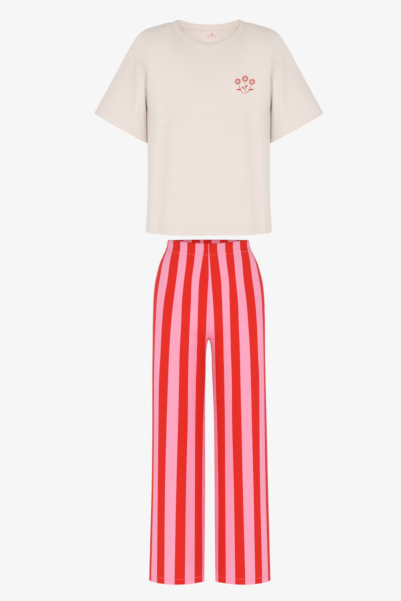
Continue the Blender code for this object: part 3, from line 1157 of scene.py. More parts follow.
@dataclass
class TShirt:
    """The T-shirt's front, back, sleeves, neckband and stitches.

    Attributes:
        swell_y: depth at which the front's sides swell.
        fold_onset: share of its height in which a hanging fold deepens.
        fold_edge: distance from the side seam in which it runs out.
        neck_share: share of the top edge that is the neckline.
        edge_crowding: power that crowds the columns at the armhole.
        round_fades: shares of the yoke's height in which its rounding fades, from the top
            and from below.
        sleeve_crowding: power that crowds the sleeve's rings at the cuff.
        side_bulge: share of the band's bulge that it has at the sides.
        band_tuck: rows of the band under its seam, as shares of its height.
        welt_slopes: widths of the rise and of the fall of the armhole's welt.
        lap_reach: how far the sleeve reaches under the body, towards its lap_share.
        hollow: how far the sleeve falls in beside its seam.
        hollow_span: shares of the armhole's height: where the hollow is full, where it
            begins to fade, and how long it fades.
    """

    wall: float = 1.4
    rib_wall: float = 2.0
    underarm_z: float = -269.0
    hem_z: float = -643.0
    hem_sag: float = 2.4
    sag_reach: float = 120.0
    swell_y: float = -27.0
    swell_reach: float = 12.0
    fold_onset: float = 0.36
    fold_edge: float = 12.0
    neck_share: float = 0.42
    neck_columns: int = 48
    shoulder_columns: int = 46
    edge_crowding: float = 1.25
    round_reach: float = 0.16
    round_passes: int = 60
    round_gain: float = 0.25
    round_fades: Pair = (0.3, 0.2)
    yoke_rows: int = 66
    row_pitch: float = 3.9
    sleeve_columns: int = 66
    sleeve_rows: int = 56
    sleeve_crowding: float = 1.12
    clear_under: float = 1.9
    clear_top: float = 0.7
    cuff_inner: Triple = (185.4, -8.0, -374.5)
    cuff_outer: Triple = (348.0, 5.0, -284.0)
    cuff_depth: float = 44.0
    cuff_squareness: float = 1.8
    band_bulge: float = 1.5
    side_bulge: float = 0.1
    band_tuck: Pair = (-0.12, -0.06)
    ribs: int = 244
    rib_height: float = 0.22
    rib_columns: int = 5
    band_rows: int = 15
    welt_height: float = 0.55
    welt_width: float = 6.5
    welt_slopes: Pair = (1.5, 1.4)
    shoulder_fade: float = 8.0
    underarm_fade: float = 12.0
    seam_plan: NeckPlan = NeckPlan(112.0, 76.0, 65.0)
    edge_plan: NeckPlan = NeckPlan(97.0, 65.0, 55.0)
    hem: Hem = Hem()
    cuff: Hem = Hem(height=20.0, rows_up=(15.4, 18.6))
    seam: Seam = Seam()
    lap: Seam = Seam(1.35, 2.7)
    lap_reach: float = 2.6
    lap_share: float = 0.985
    hollow: float = 9.0
    hollow_at: float = 5.0
    hollow_width: float = 11.0
    hollow_span: Triple = (0.15, 0.75, 0.2)
    stitches: StitchLine = StitchLine()
    sections: list[ShirtSection] = table(ShirtSection, (
        (-269, 186.0, 128, 103, 0, 2.2, 2.5),
        (-300, 185.0, 129, 102, 0, 3.0, 2.7),
        (-340, 183.2, 129, 101, 0, 3.1, 3.0),
        (-390, 182.6, 127, 102, 0, 3.0, 3.2),
        (-450, 184.4, 125, 105, 1, 1.0, 3.2),
        (-500, 185.2, 123, 107, 1, 0.0, 3.2),
        (-560, 186.6, 122, 110, 2, 0.0, 3.1),
        (-610, 189.5, 122, 113, 3, 0.0, 3.0),
        (-643, 191.5, 123, 116, 3, 0.0, 3.0),
    ))
    folds: list[ShirtFold] = table(ShirtFold, (
        (Side.FRONT, -125, -200, -155, 16.0, 17),
        (Side.FRONT, 123, -200, 149, 15.0, 17),
        (Side.FRONT, -70, -400, -57, 4.5, 15),
        (Side.FRONT, 72, -410, 58, 4.0, 15),
        (Side.BACK, -104, -290, -122, 7.5, 18),
        (Side.BACK, 108, -320, 120, 6.5, 18),
        (Side.BACK, 12, -380, 4, 4.5, 20),
    ))
    ridge: list[RidgePoint] = table(RidgePoint, (
        (112.0, 2, -7.0),
        (124.0, 4, -8.6),
        (149.0, 6, -15.5),
        (173.0, 6, -21.8),
        (199.0, 6, -32.2),
        (222.8, 5, -55.0),
        (236.0, 5, -79.0),
    ))
    neck_ring: list[NeckPoint] = table(NeckPoint, (
        (0, -80.0, -65.0),
        (30, -67.0, -52.5),
        (60, -38.0, -28.0),
        (75, -22.0, -15.0),
        (90, -8.0, -5.0),
        (112, -14.0, 0.0),
        (136, -24.0, -7.8),
        (155, -30.5, -14.0),
        (180, -34.0, -17.3),
    ))
    front_yoke: list[YokeLean] = table(YokeLean, (
        (0.00, 0.0, -26, -50, 0, 1, 94),
        (0.14, 8.0, -34, -46, 0, 1, 102),
        (0.28, 24.0, -47, -36, 0, 3, 116),
        (0.42, 32.0, -72, -14, 0, 4, 120),
        (0.70, -12.0, -84, -12, -6, -25, 105),
        (1.00, -77.5, -95, -36, 6, -62, 34),
    ))
    back_yoke: list[YokeLean] = table(YokeLean, (
        (0.00, 0.0, 16, -42, 0, 5, 75),
        (0.14, 8.0, 22, -38, 0, 5, 86),
        (0.28, 24.0, 38, -25, 0, 5, 110),
        (0.42, 32.0, 70, -9, 0, 5, 130),
        (0.70, -12.0, 76, -14, -6, 22, 105),
        (1.00, -77.5, 83, -36, 6, 60, 34),
    ))
    sleeve_leans: list[SleeveLean] = table(SleeveLean, (
        (0.0, 0.5, -8, -13, 0.0, 0, 34),
        (1.0, 36, 0, -66, -36, 0, 65),
    ))
    body_creases: list[Crease] = table(Crease, (
        # side, x and z where it starts, x and z where it ends, depth, half width
        (Side.FRONT, -213, -44, -196, -128, 2.8, 7.0),
        (Side.FRONT, 211, -48, 195, -134, 2.4, 7.5),
        (Side.FRONT, -172, -232, -112, -200, 1.4, 8.5),
        (Side.FRONT, 172, -240, 120, -216, 1.2, 9.0),
        (Side.FRONT, -168, -286, -118, -322, 1.3, 9.5),
        (Side.FRONT, 170, -282, 124, -310, 1.4, 9.0),
        (Side.FRONT, -96, -34, -132, -110, 1.1, 10.0),
        (Side.FRONT, 92, -34, 122, -96, 0.9, 10.0),
        (Side.FRONT, -30, -470, -24, -640, 1.4, 11.0),
        (Side.FRONT, 22, -500, 16, -660, 1.2, 10.0),
        (Side.BACK, -212, -46, -192, -140, 2.6, 7.5),
        (Side.BACK, 212, -44, 194, -126, 2.9, 7.0),
        (Side.BACK, -184, -240, -112, -204, 2.3, 9.0),
        (Side.BACK, 184, -248, 120, -226, 1.9, 9.0),
        (Side.BACK, -120, -66, -30, -96, 1.6, 11.0),
        (Side.BACK, 112, -62, 44, -104, 1.3, 11.0),
        (Side.BACK, -64, -420, -72, -640, 1.8, 12.0),
        (Side.BACK, 66, -450, 58, -650, 1.5, 12.0),
    ))
    sleeve_creases: list[Crease] = table(Crease, (
        (Side.FRONT, -232, -78, -228, -300, 8.0, 8.0),
        (Side.FRONT, -208, -150, -206, -330, 1.4, 7.0),
        (Side.FRONT, -262, -190, -286, -330, 1.5, 9.0),
        (Side.FRONT, 236, -84, 233, -300, 7.0, 8.0),
        (Side.FRONT, 209, -140, 210, -340, 1.6, 7.5),
        (Side.FRONT, 268, -200, 290, -320, 1.2, 9.0),
        (Side.BACK, -232, -90, -222, -330, 2.8, 8.0),
        (Side.BACK, -256, -170, -270, -330, 1.6, 9.0),
        (Side.BACK, 230, -84, 226, -310, 3.1, 8.0),
        (Side.BACK, 262, -180, 278, -330, 1.4, 9.0),
    ))

    # Surfaces
    def fold_depth(self, side: Side, x: Array, z: float) -> Array:
        """Work out how far the hanging folds sink a row.

        Args:
            side: front or back.
            x: places across the row.
            z: height of the row.

        Returns:
            The depth at each place.
        """
        depth = np.zeros(np.shape(x))
        for fold in self.folds:
            if fold.side != side:
                continue
            down = np.clip((fold.z_top - z) / (fold.z_top - self.hem_z), 0.0, 1.0)
            centre = fold.x_top + (fold.x_hem - fold.x_top) * down
            onset = ease(down / self.fold_onset)
            depth = depth + fold.depth * onset * np.exp(-((x - centre) / fold.width) ** 2)
        return depth

    def body_row(self, side: Side, shares: Array, z: float) -> Array:
        """Half section of the body.

        Args:
            side: front or back.
            shares: places from -1 at the -X side seam to 1 at the +X one.
            z: height of the row.

        Returns:
            The row's points.
        """
        half_width, side_y, swell, square = (
            through(self.sections, name, z)
            for name in ("half_width", "side_y", "swell", "square"))
        depth = through(self.sections, side.word, z)
        turn = np.linspace(-np.pi / 2, np.pi / 2, DENSE)
        power = 2 / square
        x = half_width * signed_power(np.sin(turn), power)
        y = side_y + side * (depth - side * side_y) * np.abs(np.cos(turn)) ** power
        if side is Side.FRONT:
            x = x + np.sign(x) * swell * np.exp(-((y - self.swell_y) / self.swell_reach) ** 2)
        inner = ease((half_width - np.abs(x)) / self.fold_edge)
        y = y - side * self.fold_depth(side, x, z) * inner
        sag = self.hem_sag * np.cos(turn) * ease(1 - (z - self.hem_z) / self.sag_reach)
        row = point(x, y, z - sag)
        return picked(row, even_steps(row, (np.asarray(shares) + 1) / 2))

    def neck_point(self, angle: Array, plan: NeckPlan, height: str) -> Array:
        """Points on a ring round the neck.

        Args:
            angle: degrees from the centre front.
            plan: the ring's plan.
            height: which of the neck ring's heights it has.

        Returns:
            The ring's points.
        """
        turn = np.radians(angle)
        depth = np.where(np.cos(turn) > 0, plan.front, plan.back)
        z = through(self.neck_ring, height, np.abs(angle), level=(True, True))
        return point(plan.half_width * np.sin(turn), -depth * np.cos(turn), z)

    def top_edge(self, side: Side, shares: Array) -> Array:
        """Follow a shoulder, the neckline and the other shoulder.

        Args:
            side: front or back.
            shares: places across, from -1 to 1.

        Returns:
            The edge's points.
        """
        shares = np.asarray(shares, float)
        reach = np.abs(shares)
        quarter = np.clip(reach / self.neck_share, 0, 1) * 90
        angle = quarter if side is Side.FRONT else 180 - quarter
        neck = self.neck_point(angle, self.seam_plan, "seam_z")
        along = np.linspace(self.ridge[0].x, self.ridge[-1].x, DENSE)
        ridge = point(along, through(self.ridge, "y", along), through(self.ridge, "z", along))
        outward = np.clip((reach - self.neck_share) / (1 - self.neck_share), 0, 1)
        shoulder = picked(ridge, even_steps(ridge, outward))
        edge = np.where((reach <= self.neck_share)[:, None], neck, shoulder)
        edge[:, 0] *= np.where(shares < 0, -1, 1)
        return edge

    def yoke_rows_at(self, side: Side, shares: Array, rises: Array) -> Array:
        """Rows of the chest or upper back.

        Args:
            side: front or back.
            shares: places across, from -1 to 1.
            rises: 0 at the underarm and 1 at the shoulder, one for each row.

        Returns:
            A grid of rows.
        """
        leans = self.front_yoke if side is Side.FRONT else self.back_yoke
        reach = np.abs(shares)
        mirror = point(np.where(np.asarray(shares) < 0, -1, 1), 1, 1)
        lean_top, lean_low = (
            mirror * point(*(through(leans, end + axis, reach, level=(axis != "_x", False))
                             for axis in ("_x", "_y", "_z")))
            for end in ("top", "low"))
        low = self.body_row(side, shares, self.underarm_z)
        top = self.top_edge(side, shares)
        steps = np.asarray(rises)[:, None, None]
        return bezier((low, low + lean_low, top + lean_top, top), steps)

    def body_grid(self, side: Side) -> Array:
        """Shape the front or back.

        Args:
            side: front or back.

        Returns:
            Its middle surface, in rows from the hem to the shoulder.
        """
        neck = np.linspace(0, self.neck_share, self.neck_columns + 1)
        crowded = 1 - np.linspace(1, 0, self.shoulder_columns + 1)[1:] ** self.edge_crowding
        half = np.concatenate((neck, self.neck_share + (1 - self.neck_share) * crowded))
        shares = np.concatenate((-half[:0:-1], half))
        heights = self.hem.cut_rows(self.hem_z, self.underarm_z, self.row_pitch)[:-1]
        rises = np.linspace(0, 1, self.yoke_rows + 1)
        rows = np.array([self.body_row(side, shares, z) for z in heights])
        yoke = self.eased(self.yoke_rows_at(side, shares, rises), shares, rises)
        return np.concatenate((rows, yoke))

    def eased(self, yoke: Array, shares: Array, rises: Array) -> Array:
        """Round the cloth below the neck point, where the neckline and shoulder meet.

        Args:
            yoke: rows of the chest or upper back.
            shares: places across.
            rises: 0 at the underarm and 1 at the shoulder, one for each row.

        Returns:
            The rounded rows.
        """
        near = np.exp(-((np.abs(shares) - self.neck_share) / self.round_reach) ** 2)
        top, low = self.round_fades
        held = ease((1 - rises) / top) * ease(rises / low)
        gain = self.round_gain * (held[:, None] * near)[:, 1:-1, None]
        yoke = yoke.copy()
        for _ in range(self.round_passes):
            yoke[:, 1:-1] += gain * (yoke[:, 2:] + yoke[:, :-2] - 2 * yoke[:, 1:-1])
        return yoke

    def cuff_point(self, turn: float, side: Side) -> Array:
        """Find a point of the cuff.

        Args:
            turn: 0 at its inner end and pi at its outer end.
            side: front or back.

        Returns:
            The point.
        """
        inner, outer = np.array(self.cuff_inner), np.array(self.cuff_outer)
        middle, half = (inner + outer) / 2, (outer - inner) / 2
        power = 2 / self.cuff_squareness
        across = -signed_power(np.cos(turn), power)
        deep = side * self.cuff_depth * np.abs(np.sin(turn)) ** power
        return middle + half * across + np.array((0, deep, 0))

    def sleeve_grid(self) -> Array:
        """Shape the +X sleeve.

        Returns:
            Its middle surface, in rings from under the armhole seam to the cuff.
        """
        even = np.linspace(0, 1, self.sleeve_columns + 1)
        crowded = 1 - np.linspace(1, 0, self.sleeve_rows + 1) ** self.sleeve_crowding
        steps = crowded[:, None]
        columns = []
        for side, rises in ((Side.FRONT, even), (Side.BACK, even[-2::-1])):
            seams = self.yoke_rows_at(side, np.array([1.0]), rises)[:, 0]
            for rise, seam in zip(rises, seams):
                turn = np.pi * rise
                lift = (1 - np.cos(turn)) / 2
                seam = seam + np.array((self.clear_under
                                        + (self.clear_top - self.clear_under) * lift, 0, 0))
                start, end = (np.array([through(self.sleeve_leans, when + axis, lift)
                                        for axis in ("_x", "_y", "_z")])
                              for when in ("start", "end"))
                cuff = self.cuff_point(turn, side)
                inward = self.yoke_rows_at(side, np.array([self.lap_share]), np.array([rise]))
                under = unit(inward[0, 0] - seam) * self.lap_reach
                own = bezier((seam, seam + start, cuff + end, cuff), steps)
                columns.append(np.concatenate((seam + under * np.array([[1.0], [0.5]]), own)))
        return np.array(columns).transpose(1, 0, 2)

    def band_grid(self) -> Array:
        """Shape the neckband.

        Returns:
            Its middle surface, in rings from under its seam to its free edge.
        """
        ring = np.linspace(-180, 180, NECK_STEPS)
        middle = (self.neck_point(ring, self.seam_plan, "seam_z")
                  + self.neck_point(ring, self.edge_plan, "edge_z")) / 2
        places = even_steps(middle, np.linspace(0, 1, self.ribs * self.rib_columns + 1))
        angles = np.interp(places, np.linspace(0, 1, len(ring)), ring)
        seam = self.neck_point(angles, self.seam_plan, "seam_z")
        edge = self.neck_point(angles, self.edge_plan, "edge_z")
        outward = unit(seam - point(0, 0, seam[:, 2])) + point(0, 0, 1)
        share = np.concatenate((self.band_tuck, np.linspace(0, 1, self.band_rows + 1)))
        share = share[:, None, None]
        facing = self.side_bulge + (1 - self.side_bulge) * np.cos(np.radians(angles)) ** 2
        bulge = 4 * share * (1 - share) * self.band_bulge * facing[:, None]
        return seam * (1 - share) + edge * share + outward * bulge

    # Pieces
    def build(self, jersey: Material, rib: Material, thread: Material) -> list[Object]:
        """Make and declare every piece of the T-shirt.

        Args:
            jersey: finish of the body and sleeves.
            rib: finish of the neckband.
            thread: finish of the stitches.

        Returns:
            The front and the back, for what is printed on them.
        """
        chest = (0.0, 0.0, self.underarm_z)
        panels = [Panel(f"T_{side.word}_cloth", face_outward(self.body_grid(side), chest),
                        self.wall) for side in Side]
        join_normals(panels)
        hem_threads: list[Strand] = []
        made = []
        for panel, side in zip(panels, Side):
            self.dress_body(panel)
            across = panel.from_edge(Edge.FIRST)
            across = across - across[:, [across.shape[1] // 2]]
            piece = panel.shell(jersey, across, panel.from_edge(Edge.LOW))
            made.append(piece)
            hem_threads += self.stitches.strands(panel, Edge.LOW, self.hem.rows_up)
            declare_sheet(piece, panel, f"shirt_{side.word}")
        report_piece(strands_object("T_hem_stitches", hem_threads, thread))

        for hand in Hand:
            self.build_sleeve(hand, jersey, thread)
        self.build_band(rib)
        return made

    def dress_body(self, panel: Panel) -> None:
        """Press creases, seams, the hem and the armhole welts into the front or back.

        Args:
            panel: the front or back.
        """
        panel.press(self.body_creases)
        panel.turn_in(Edge.LOW, self.hem)
        past_neck = np.abs(panel.grid[..., 0]) - self.seam_plan.half_width
        on_shoulder = ease(past_neck / self.shoulder_fade)
        panel.shift -= on_shoulder * self.seam.sink(panel.from_edge(Edge.HIGH))
        above = ease((panel.grid[..., 2] - self.underarm_z) / self.underarm_fade)
        rise, fall = self.welt_slopes
        for edge in (Edge.FIRST, Edge.LAST):
            distance = panel.from_edge(edge)
            panel.shift -= (1 - above) * self.seam.sink(distance)
            welt = ease(distance / rise) * (1 - ease((distance - self.welt_width) / fall))
            panel.shift += self.welt_height * welt * above

    def build_sleeve(self, hand: Hand, jersey: Material, thread: Material) -> None:
        """Make one sleeve and the stitches of its cuff.

        Args:
            hand: the wearer's left or right.
            jersey: its finish.
            thread: finish of its stitches.
        """
        grid = self.sleeve_grid()
        grid[..., 0] *= hand
        grid = face_outward(grid, tuple(grid.mean(axis=(0, 1))))
        panel = Panel(f"T_sleeve_{hand.word}_cloth", grid, self.wall, closed=True)
        panel.press(self.sleeve_creases)
        panel.sew(Edge.LOW, self.lap)
        panel.shift -= self.hollow_depth(panel)
        panel.turn_in(Edge.HIGH, self.cuff)
        around = panel.from_edge(Edge.FIRST)
        panel.shift -= self.seam.sink(np.minimum(around, panel.from_edge(Edge.LAST)))
        piece = panel.shell(jersey, around, panel.from_edge(Edge.LOW))
        threads = self.stitches.strands(panel, Edge.HIGH, self.cuff.rows_up)
        sewn = strands_object(f"T_cuff_stitches_{hand.word}", threads, thread)
        report_piece(sewn)
        declare_sheet(piece, panel, f"sleeve_{hand.word}")

    def hollow_depth(self, panel: Panel) -> Array:
        """Work out how far a sleeve falls in beside its seam, most at mid-height.

        Args:
            panel: the sleeve.

        Returns:
            The depth at each place.
        """
        seam_z = panel.grid[2, :, 2]                # past the two rows under the seam
        lift = (seam_z - seam_z.min()) / np.ptp(seam_z)
        begin, end, fade = self.hollow_span
        strength = ease(lift / begin) * (1 - ease((lift - end) / fade))
        away = panel.from_edge(Edge.LOW) - self.lap_reach
        rise = ease(away / self.hollow_at)
        fall = np.exp(-(np.maximum(away - self.hollow_at, 0) / self.hollow_width) ** 2)
        return self.hollow * strength * rise * fall

    def build_band(self, rib: Material) -> None:
        """Make the neckband, with real ribs.

        Args:
            rib: its finish.
        """
        grid = self.band_grid()
        grid = face_outward(grid, (0.0, 0.0, float(grid[..., 2].mean())))
        panel = Panel("T_neckband_rib", grid, self.rib_wall, closed=True, bead=1.0)
        number = np.arange(grid.shape[1]) / self.rib_columns
        waves = self.rib_height * np.cos(2 * np.pi * number)
        panel.shift += waves
        panel.lining += 2 * waves
        panel.sew(Edge.LOW, self.lap)
        piece = panel.shell(rib, panel.from_edge(Edge.FIRST), panel.from_edge(Edge.LOW),
                            crisp=False)
        declare_sheet(piece, panel, "neckband")


# ---- Trousers ------------------------------------------------------------------------
class TrouserSection(NamedTuple):
    """A level section of the trousers."""

    z: float
    outer: float
    inner: float
    front: float
    back: float
    taper: float
    crest: float


class RimDip(NamedTuple):
    """How far the waist's edge dips from the centre to the outseam."""

    share: float
    front: float
    back: float


class Sway(NamedTuple):
    """How far the legs hang off to the wearer's left at a height."""

    z: float
    off: float


class StripeRow(NamedTuple):
    """Where the edges of a leg's stripes lie at a height, outward from the centre."""

    z: float
    edge1: float
    edge2: float
    edge3: float
    edge4: float
    edge5: float
    edge6: float


@dataclass
class Trousers:
    """The trousers' four panels, turned-in waist layer and stitches.

    Attributes:
        hip_end_z: height at which the hips begin to part into legs.
        rise_height: height of the centre seam's curve above the crotch.
        fork_bridge: how softly the cloth bridges that curve.
        fork_end: how far from it the cloth is left alone, past crest_share.
        crest_out: how far outward a leg is deepest, in halves of its width.
        thigh_fill: how much fuller the thighs are where the legs part.
        crotch_rows: rows just under the crotch, by their distance from it.
        back_shift: how much further out the stripes' edges lie at the back.
        outermost: number of the first edge that a side's stripes are laid by.
        innermost: number of the last one, nearest to the centre.
        seam_margin: least distance of such an edge from the inseam.
        stripes_off: how far off the middle the stripes are laid.
        casing_centre: middle of the inner layer's stripes at the back.
        casing_sliver: half the width of the stripe there.
        puff: how far the cloth puffs out above the stitches under the elastic.
        casing_fold: how far out and up the inner layer turns over the waist's edge.
    """

    wall: float = 1.3
    crotch_z: float = -973.0
    hip_end_z: float = -810.0
    rise_height: float = 100.0
    casing_z: float = -703.0
    casing_inset: float = 1.85
    casing_wall: float = 1.0
    hip_squareness: float = 2.9
    outseam_y: float = 8.0
    leg_middle_x: float = 88.0
    fork_bridge: float = 40.0
    fork_end: float = 60.0
    crest_share: float = 0.4
    crest_fade: float = 0.3
    thigh_fill: float = 0.09
    dip_end_z: float = -785.0
    columns: int = 74
    fork_rows: int = 24
    crotch_rows: tuple[float, ...] = (7.0, 4.5, 2.0)
    casing_rows: int = 14
    row_pitch: float = 4.2
    gather: float = 0.35
    gather_pitch: float = 12.0
    stripe: float = 33.5
    back_shift: float = 9.0
    innermost: int = 6
    seam_margin: float = 0.5
    casing_centre: float = -21.6
    casing_sliver: float = 5.2
    casing_pitch: float = 25.3
    hem_sag: float = 2.0
    inseam_sag: float = 3.5
    inseam_reach: float = 0.3
    sag_reach: float = 90.0
    stripes_off: float = 1.4
    hem: Hem = Hem(height=19.0, rows_up=(17.2,))
    seam: Seam = Seam(0.6, 2.4)
    casing_seam: Seam = Seam(0.45, 1.6)
    casing_fade: float = 8.0
    puff: float = 0.7
    puff_at: float = 6.0
    puff_width: float = 4.0
    casing_fold: tuple[Pair, ...] = ((0.5, 0.8), (1.5, 1.1))
    stitches: StitchLine = StitchLine(pitch=3.6, length=3.1, radius=0.32)
    crest_out: dict[Side, float] = field(
        default_factory=lambda: {Side.FRONT: 0.28, Side.BACK: 0.20})
    outermost: dict[Side, int] = field(
        default_factory=lambda: {Side.FRONT: 1, Side.BACK: 2})
    rim: list[RimDip] = table(RimDip, (
        # share from the centre to the outseam, dip of the front, of the back
        (0.00, 5.0, 8.4),
        (0.25, 2.0, 8.4),
        (0.50, -1.8, 8.0),
        (0.75, -1.8, 6.5),
        (1.00, 3.0, 3.0),
    ))
    sway: list[Sway] = table(Sway, (
        (-669, -1.5),
        (-800, 0.0),
        (-1090, 0.3),
        (-1250, 2.4),
        (-1718, 3.3),
    ))
    sections: list[TrouserSection] = table(TrouserSection, (
        (-669, 122.5, 0.0, 85, 80, 0.8, 1.0),
        (-694, 127.5, 0.0, 89, 88, 0.8, 1.0),
        (-719, 139.5, 0.0, 94, 98, 0.8, 1.0),
        (-743, 149.5, 0.0, 98, 107, 0.8, 1.0),
        (-768, 156.5, 0.0, 101, 114, 0.8, 1.0),
        (-792, 162.5, 0.0, 103, 120, 0.8, 1.0),
        (-842, 168.5, 0.0, 104, 127, 0.8, 1.0),
        (-900, 170.8, 0.0, 102, 126, 0.8, 1.0),
        (-973, 171.5, 0.0, 97, 117, 0.8, 1.0),
        (-981, 171.5, 3.6, 96, 116, 0.8, 1.0),
        (-1007, 171.8, 7.6, 94, 113, 0.82, 1.0),
        (-1069, 172.6, 9.8, 91, 106, 0.95, 1.0),
        (-1192, 174.2, 13.4, 87, 97, 1.15, 1.0),
        (-1315, 176.0, 14.0, 83, 90, 1.3, 0.85),
        (-1455, 178.8, 14.6, 80, 84, 1.35, 0.6),
        (-1590, 182.6, 15.6, 78, 79, 1.35, 0.25),
        (-1718, 186.0, 17.0, 78, 77, 1.3, 0.0),
    ))
    stripes_right: list[StripeRow] = table(StripeRow, (
        # height, then the stripes' edges from the outseam to the centre
        (-692, 110, 88, 67, 42, 17, -2),
        (-729, 119, 93, 70, 46, 23, 1),
        (-784, 127, 100, 77, 53, 31, 3),
        (-845, 137, 108, 83, 55, 34, 6),
        (-921, 144, 116, 86, 59, 36, 9),
        (-997, 148, 121, 90, 62, 38, 12),
        (-1089, 153, 125, 92, 64, 41, 13),
        (-1211, 155, 129, 95, 65, 43, 18),
        (-1394, 157, 134, 100, 70, 44, 21),
        (-1692, 160, 137, 106, 74, 45, 21),
    ))
    stripes_left: list[StripeRow] = table(StripeRow, (
        (-692, 115, 93, 72, 48, 24, -1),
        (-729, 123, 99, 76, 52, 29, 2),
        (-784, 131, 104, 81, 59, 36, 6),
        (-845, 139, 112, 87, 61, 39, 11),
        (-921, 145, 118, 90, 63, 42, 15),
        (-997, 148, 123, 93, 65, 44, 17),
        (-1089, 152, 126, 95, 68, 46, 19),
        (-1211, 153, 129, 98, 69, 48, 23),
        (-1394, 155, 134, 102, 74, 49, 27),
        (-1692, 162, 140, 110, 79, 51, 27),
    ))
    creases: list[Crease] = table(Crease, (
        # side, x and z where it starts, x and z where it ends, depth, half width
        (Side.FRONT, -8, -968, -74, -912, 1.4, 9.0),
        (Side.FRONT, 8, -968, 68, -906, 1.2, 9.0),
        (Side.FRONT, -10, -990, -66, -1010, 0.9, 9.0),
        (Side.FRONT, 10, -988, 74, -1014, 1.0, 9.0),
        (Side.FRONT, -60, -1180, -52, -1730, 2.6, 14.0),
        (Side.FRONT, -128, -1240, -134, -1730, 2.2, 13.0),
        (Side.FRONT, 64, -1200, 58, -1730, 2.2, 14.0),
        (Side.FRONT, 130, -1220, 138, -1730, 2.6, 13.0),
        (Side.FRONT, -140, -1560, -60, -1590, 1.2, 12.0),
        (Side.FRONT, 60, -1600, 140, -1570, 1.0, 12.0),
        (Side.BACK, -8, -968, -80, -900, 3.0, 10.0),
        (Side.BACK, 8, -968, 84, -904, 2.7, 10.0),
        (Side.BACK, -14, -1000, -90, -1040, 2.0, 11.0),
        (Side.BACK, 14, -996, 84, -1032, 2.2, 11.0),
        (Side.BACK, -96, -1130, -90, -1730, 3.0, 16.0),
        (Side.BACK, 98, -1160, 94, -1730, 2.7, 16.0),
        (Side.BACK, -150, -1350, -146, -1730, 1.6, 11.0),
        (Side.BACK, 46, -1400, 44, -1730, 1.6, 11.0),
    ))

    # Surfaces
    def row(self, side: Side, z: float) -> Array:
        """Quarter section at +X, from the centre or inseam to the outseam.

        Args:
            side: front or back.
            z: height of the row.

        Returns:
            The row's points, evenly spaced.
        """
        outer = through(self.sections, "outer", z)
        inner = (max(float(through(self.sections, "inner", z)), 0.0)
                 if z < self.crotch_z else 0.0)
        depth = through(self.sections, side.word, z)
        taper = through(self.sections, "taper", z)
        reach = depth - side * self.outseam_y
        across = np.linspace(0, 1, DENSE)

        turn = across * np.pi / 2
        hip_x = outer * np.sin(turn) ** (2 / self.hip_squareness)
        hip_y = self.outseam_y + side * reach * np.cos(turn) ** (2 / self.hip_squareness)

        turn = across * np.pi
        half = (outer - inner) / 2
        lean = self.crest_out[side] * through(self.sections, "crest", z)
        leg_x = inner + half * (1 - np.cos(turn) + lean * np.sin(turn) ** 2)
        leg_y = self.outseam_y + side * reach * np.abs(np.sin(turn)) ** taper

        parted = ease((self.hip_end_z - z) / (self.hip_end_z - self.crotch_z))
        x = hip_x + (leg_x - hip_x) * parted
        y = hip_y + (leg_y - hip_y) * parted
        fill = 4 * self.thigh_fill * parted * (1 - parted) * np.sin(turn)
        y = self.outseam_y + (y - self.outseam_y) * (1 + fill)
        climb = np.clip((self.crotch_z + self.rise_height - z) / self.rise_height, 0, 1)
        if z > self.crotch_z:
            seam = self.outseam_y + (hip_y - self.outseam_y) * np.sqrt(1 - climb ** 2)
            past_crest = ease((across - self.crest_share) / self.crest_fade)
            seam = side * seam - self.fork_end * past_crest
            softness = self.fork_bridge * parted * (1 - climb) * (1 - past_crest)
            y = side * (side * y + seam + np.hypot(side * y - seam, softness)) / 2
        top_fade = ease((z - self.dip_end_z) / (self.casing_z - self.dip_end_z))
        dip = through(self.rim, side.word, across) * top_fade
        sag = self.hem_sag * np.sin(turn) + self.inseam_sag * ease(1 - across / self.inseam_reach)
        dip = dip + sag * ease(1 - (z - self.sections[-1].z) / self.sag_reach)
        row = point(x, y, z - dip)
        shares = np.linspace(0, 1, self.columns + 1)
        own, leg = even_steps(row, shares), even_steps(point(leg_x, leg_y, z), shares)
        return picked(row, own + (leg - own) * parted)

    def heights(self) -> Array:
        """Space out the rows.

        Returns:
            Their heights, from the hem to the waist.
        """
        below = self.crotch_z - np.array(self.crotch_rows)
        legs = self.hem.cut_rows(self.sections[-1].z, below[0], self.row_pitch)
        fork = np.linspace(0, np.pi / 2, self.fork_rows + 1)
        crotch = self.crotch_z + self.rise_height * (1 - np.cos(fork))
        hip_count = round((self.casing_z - crotch[-1]) / self.row_pitch)
        hips = np.linspace(crotch[-1], self.casing_z, hip_count + 1)[1:]
        casing = np.linspace(self.casing_z, self.sections[0].z, self.casing_rows + 1)[1:]
        return np.concatenate((legs, below[1:], crotch, hips, casing))

    def grid(self, side: Side, hand: Hand) -> Array:
        """Shape one panel.

        Args:
            side: front or back.
            hand: the leg.

        Returns:
            Its middle surface, in rows from the hem to the waist.
        """
        heights = self.heights()
        rows = np.array([self.row(side, z) for z in heights])
        rows[..., 0] = rows[..., 0] * hand + through(self.sway, "off", heights)[:, None]
        return rows

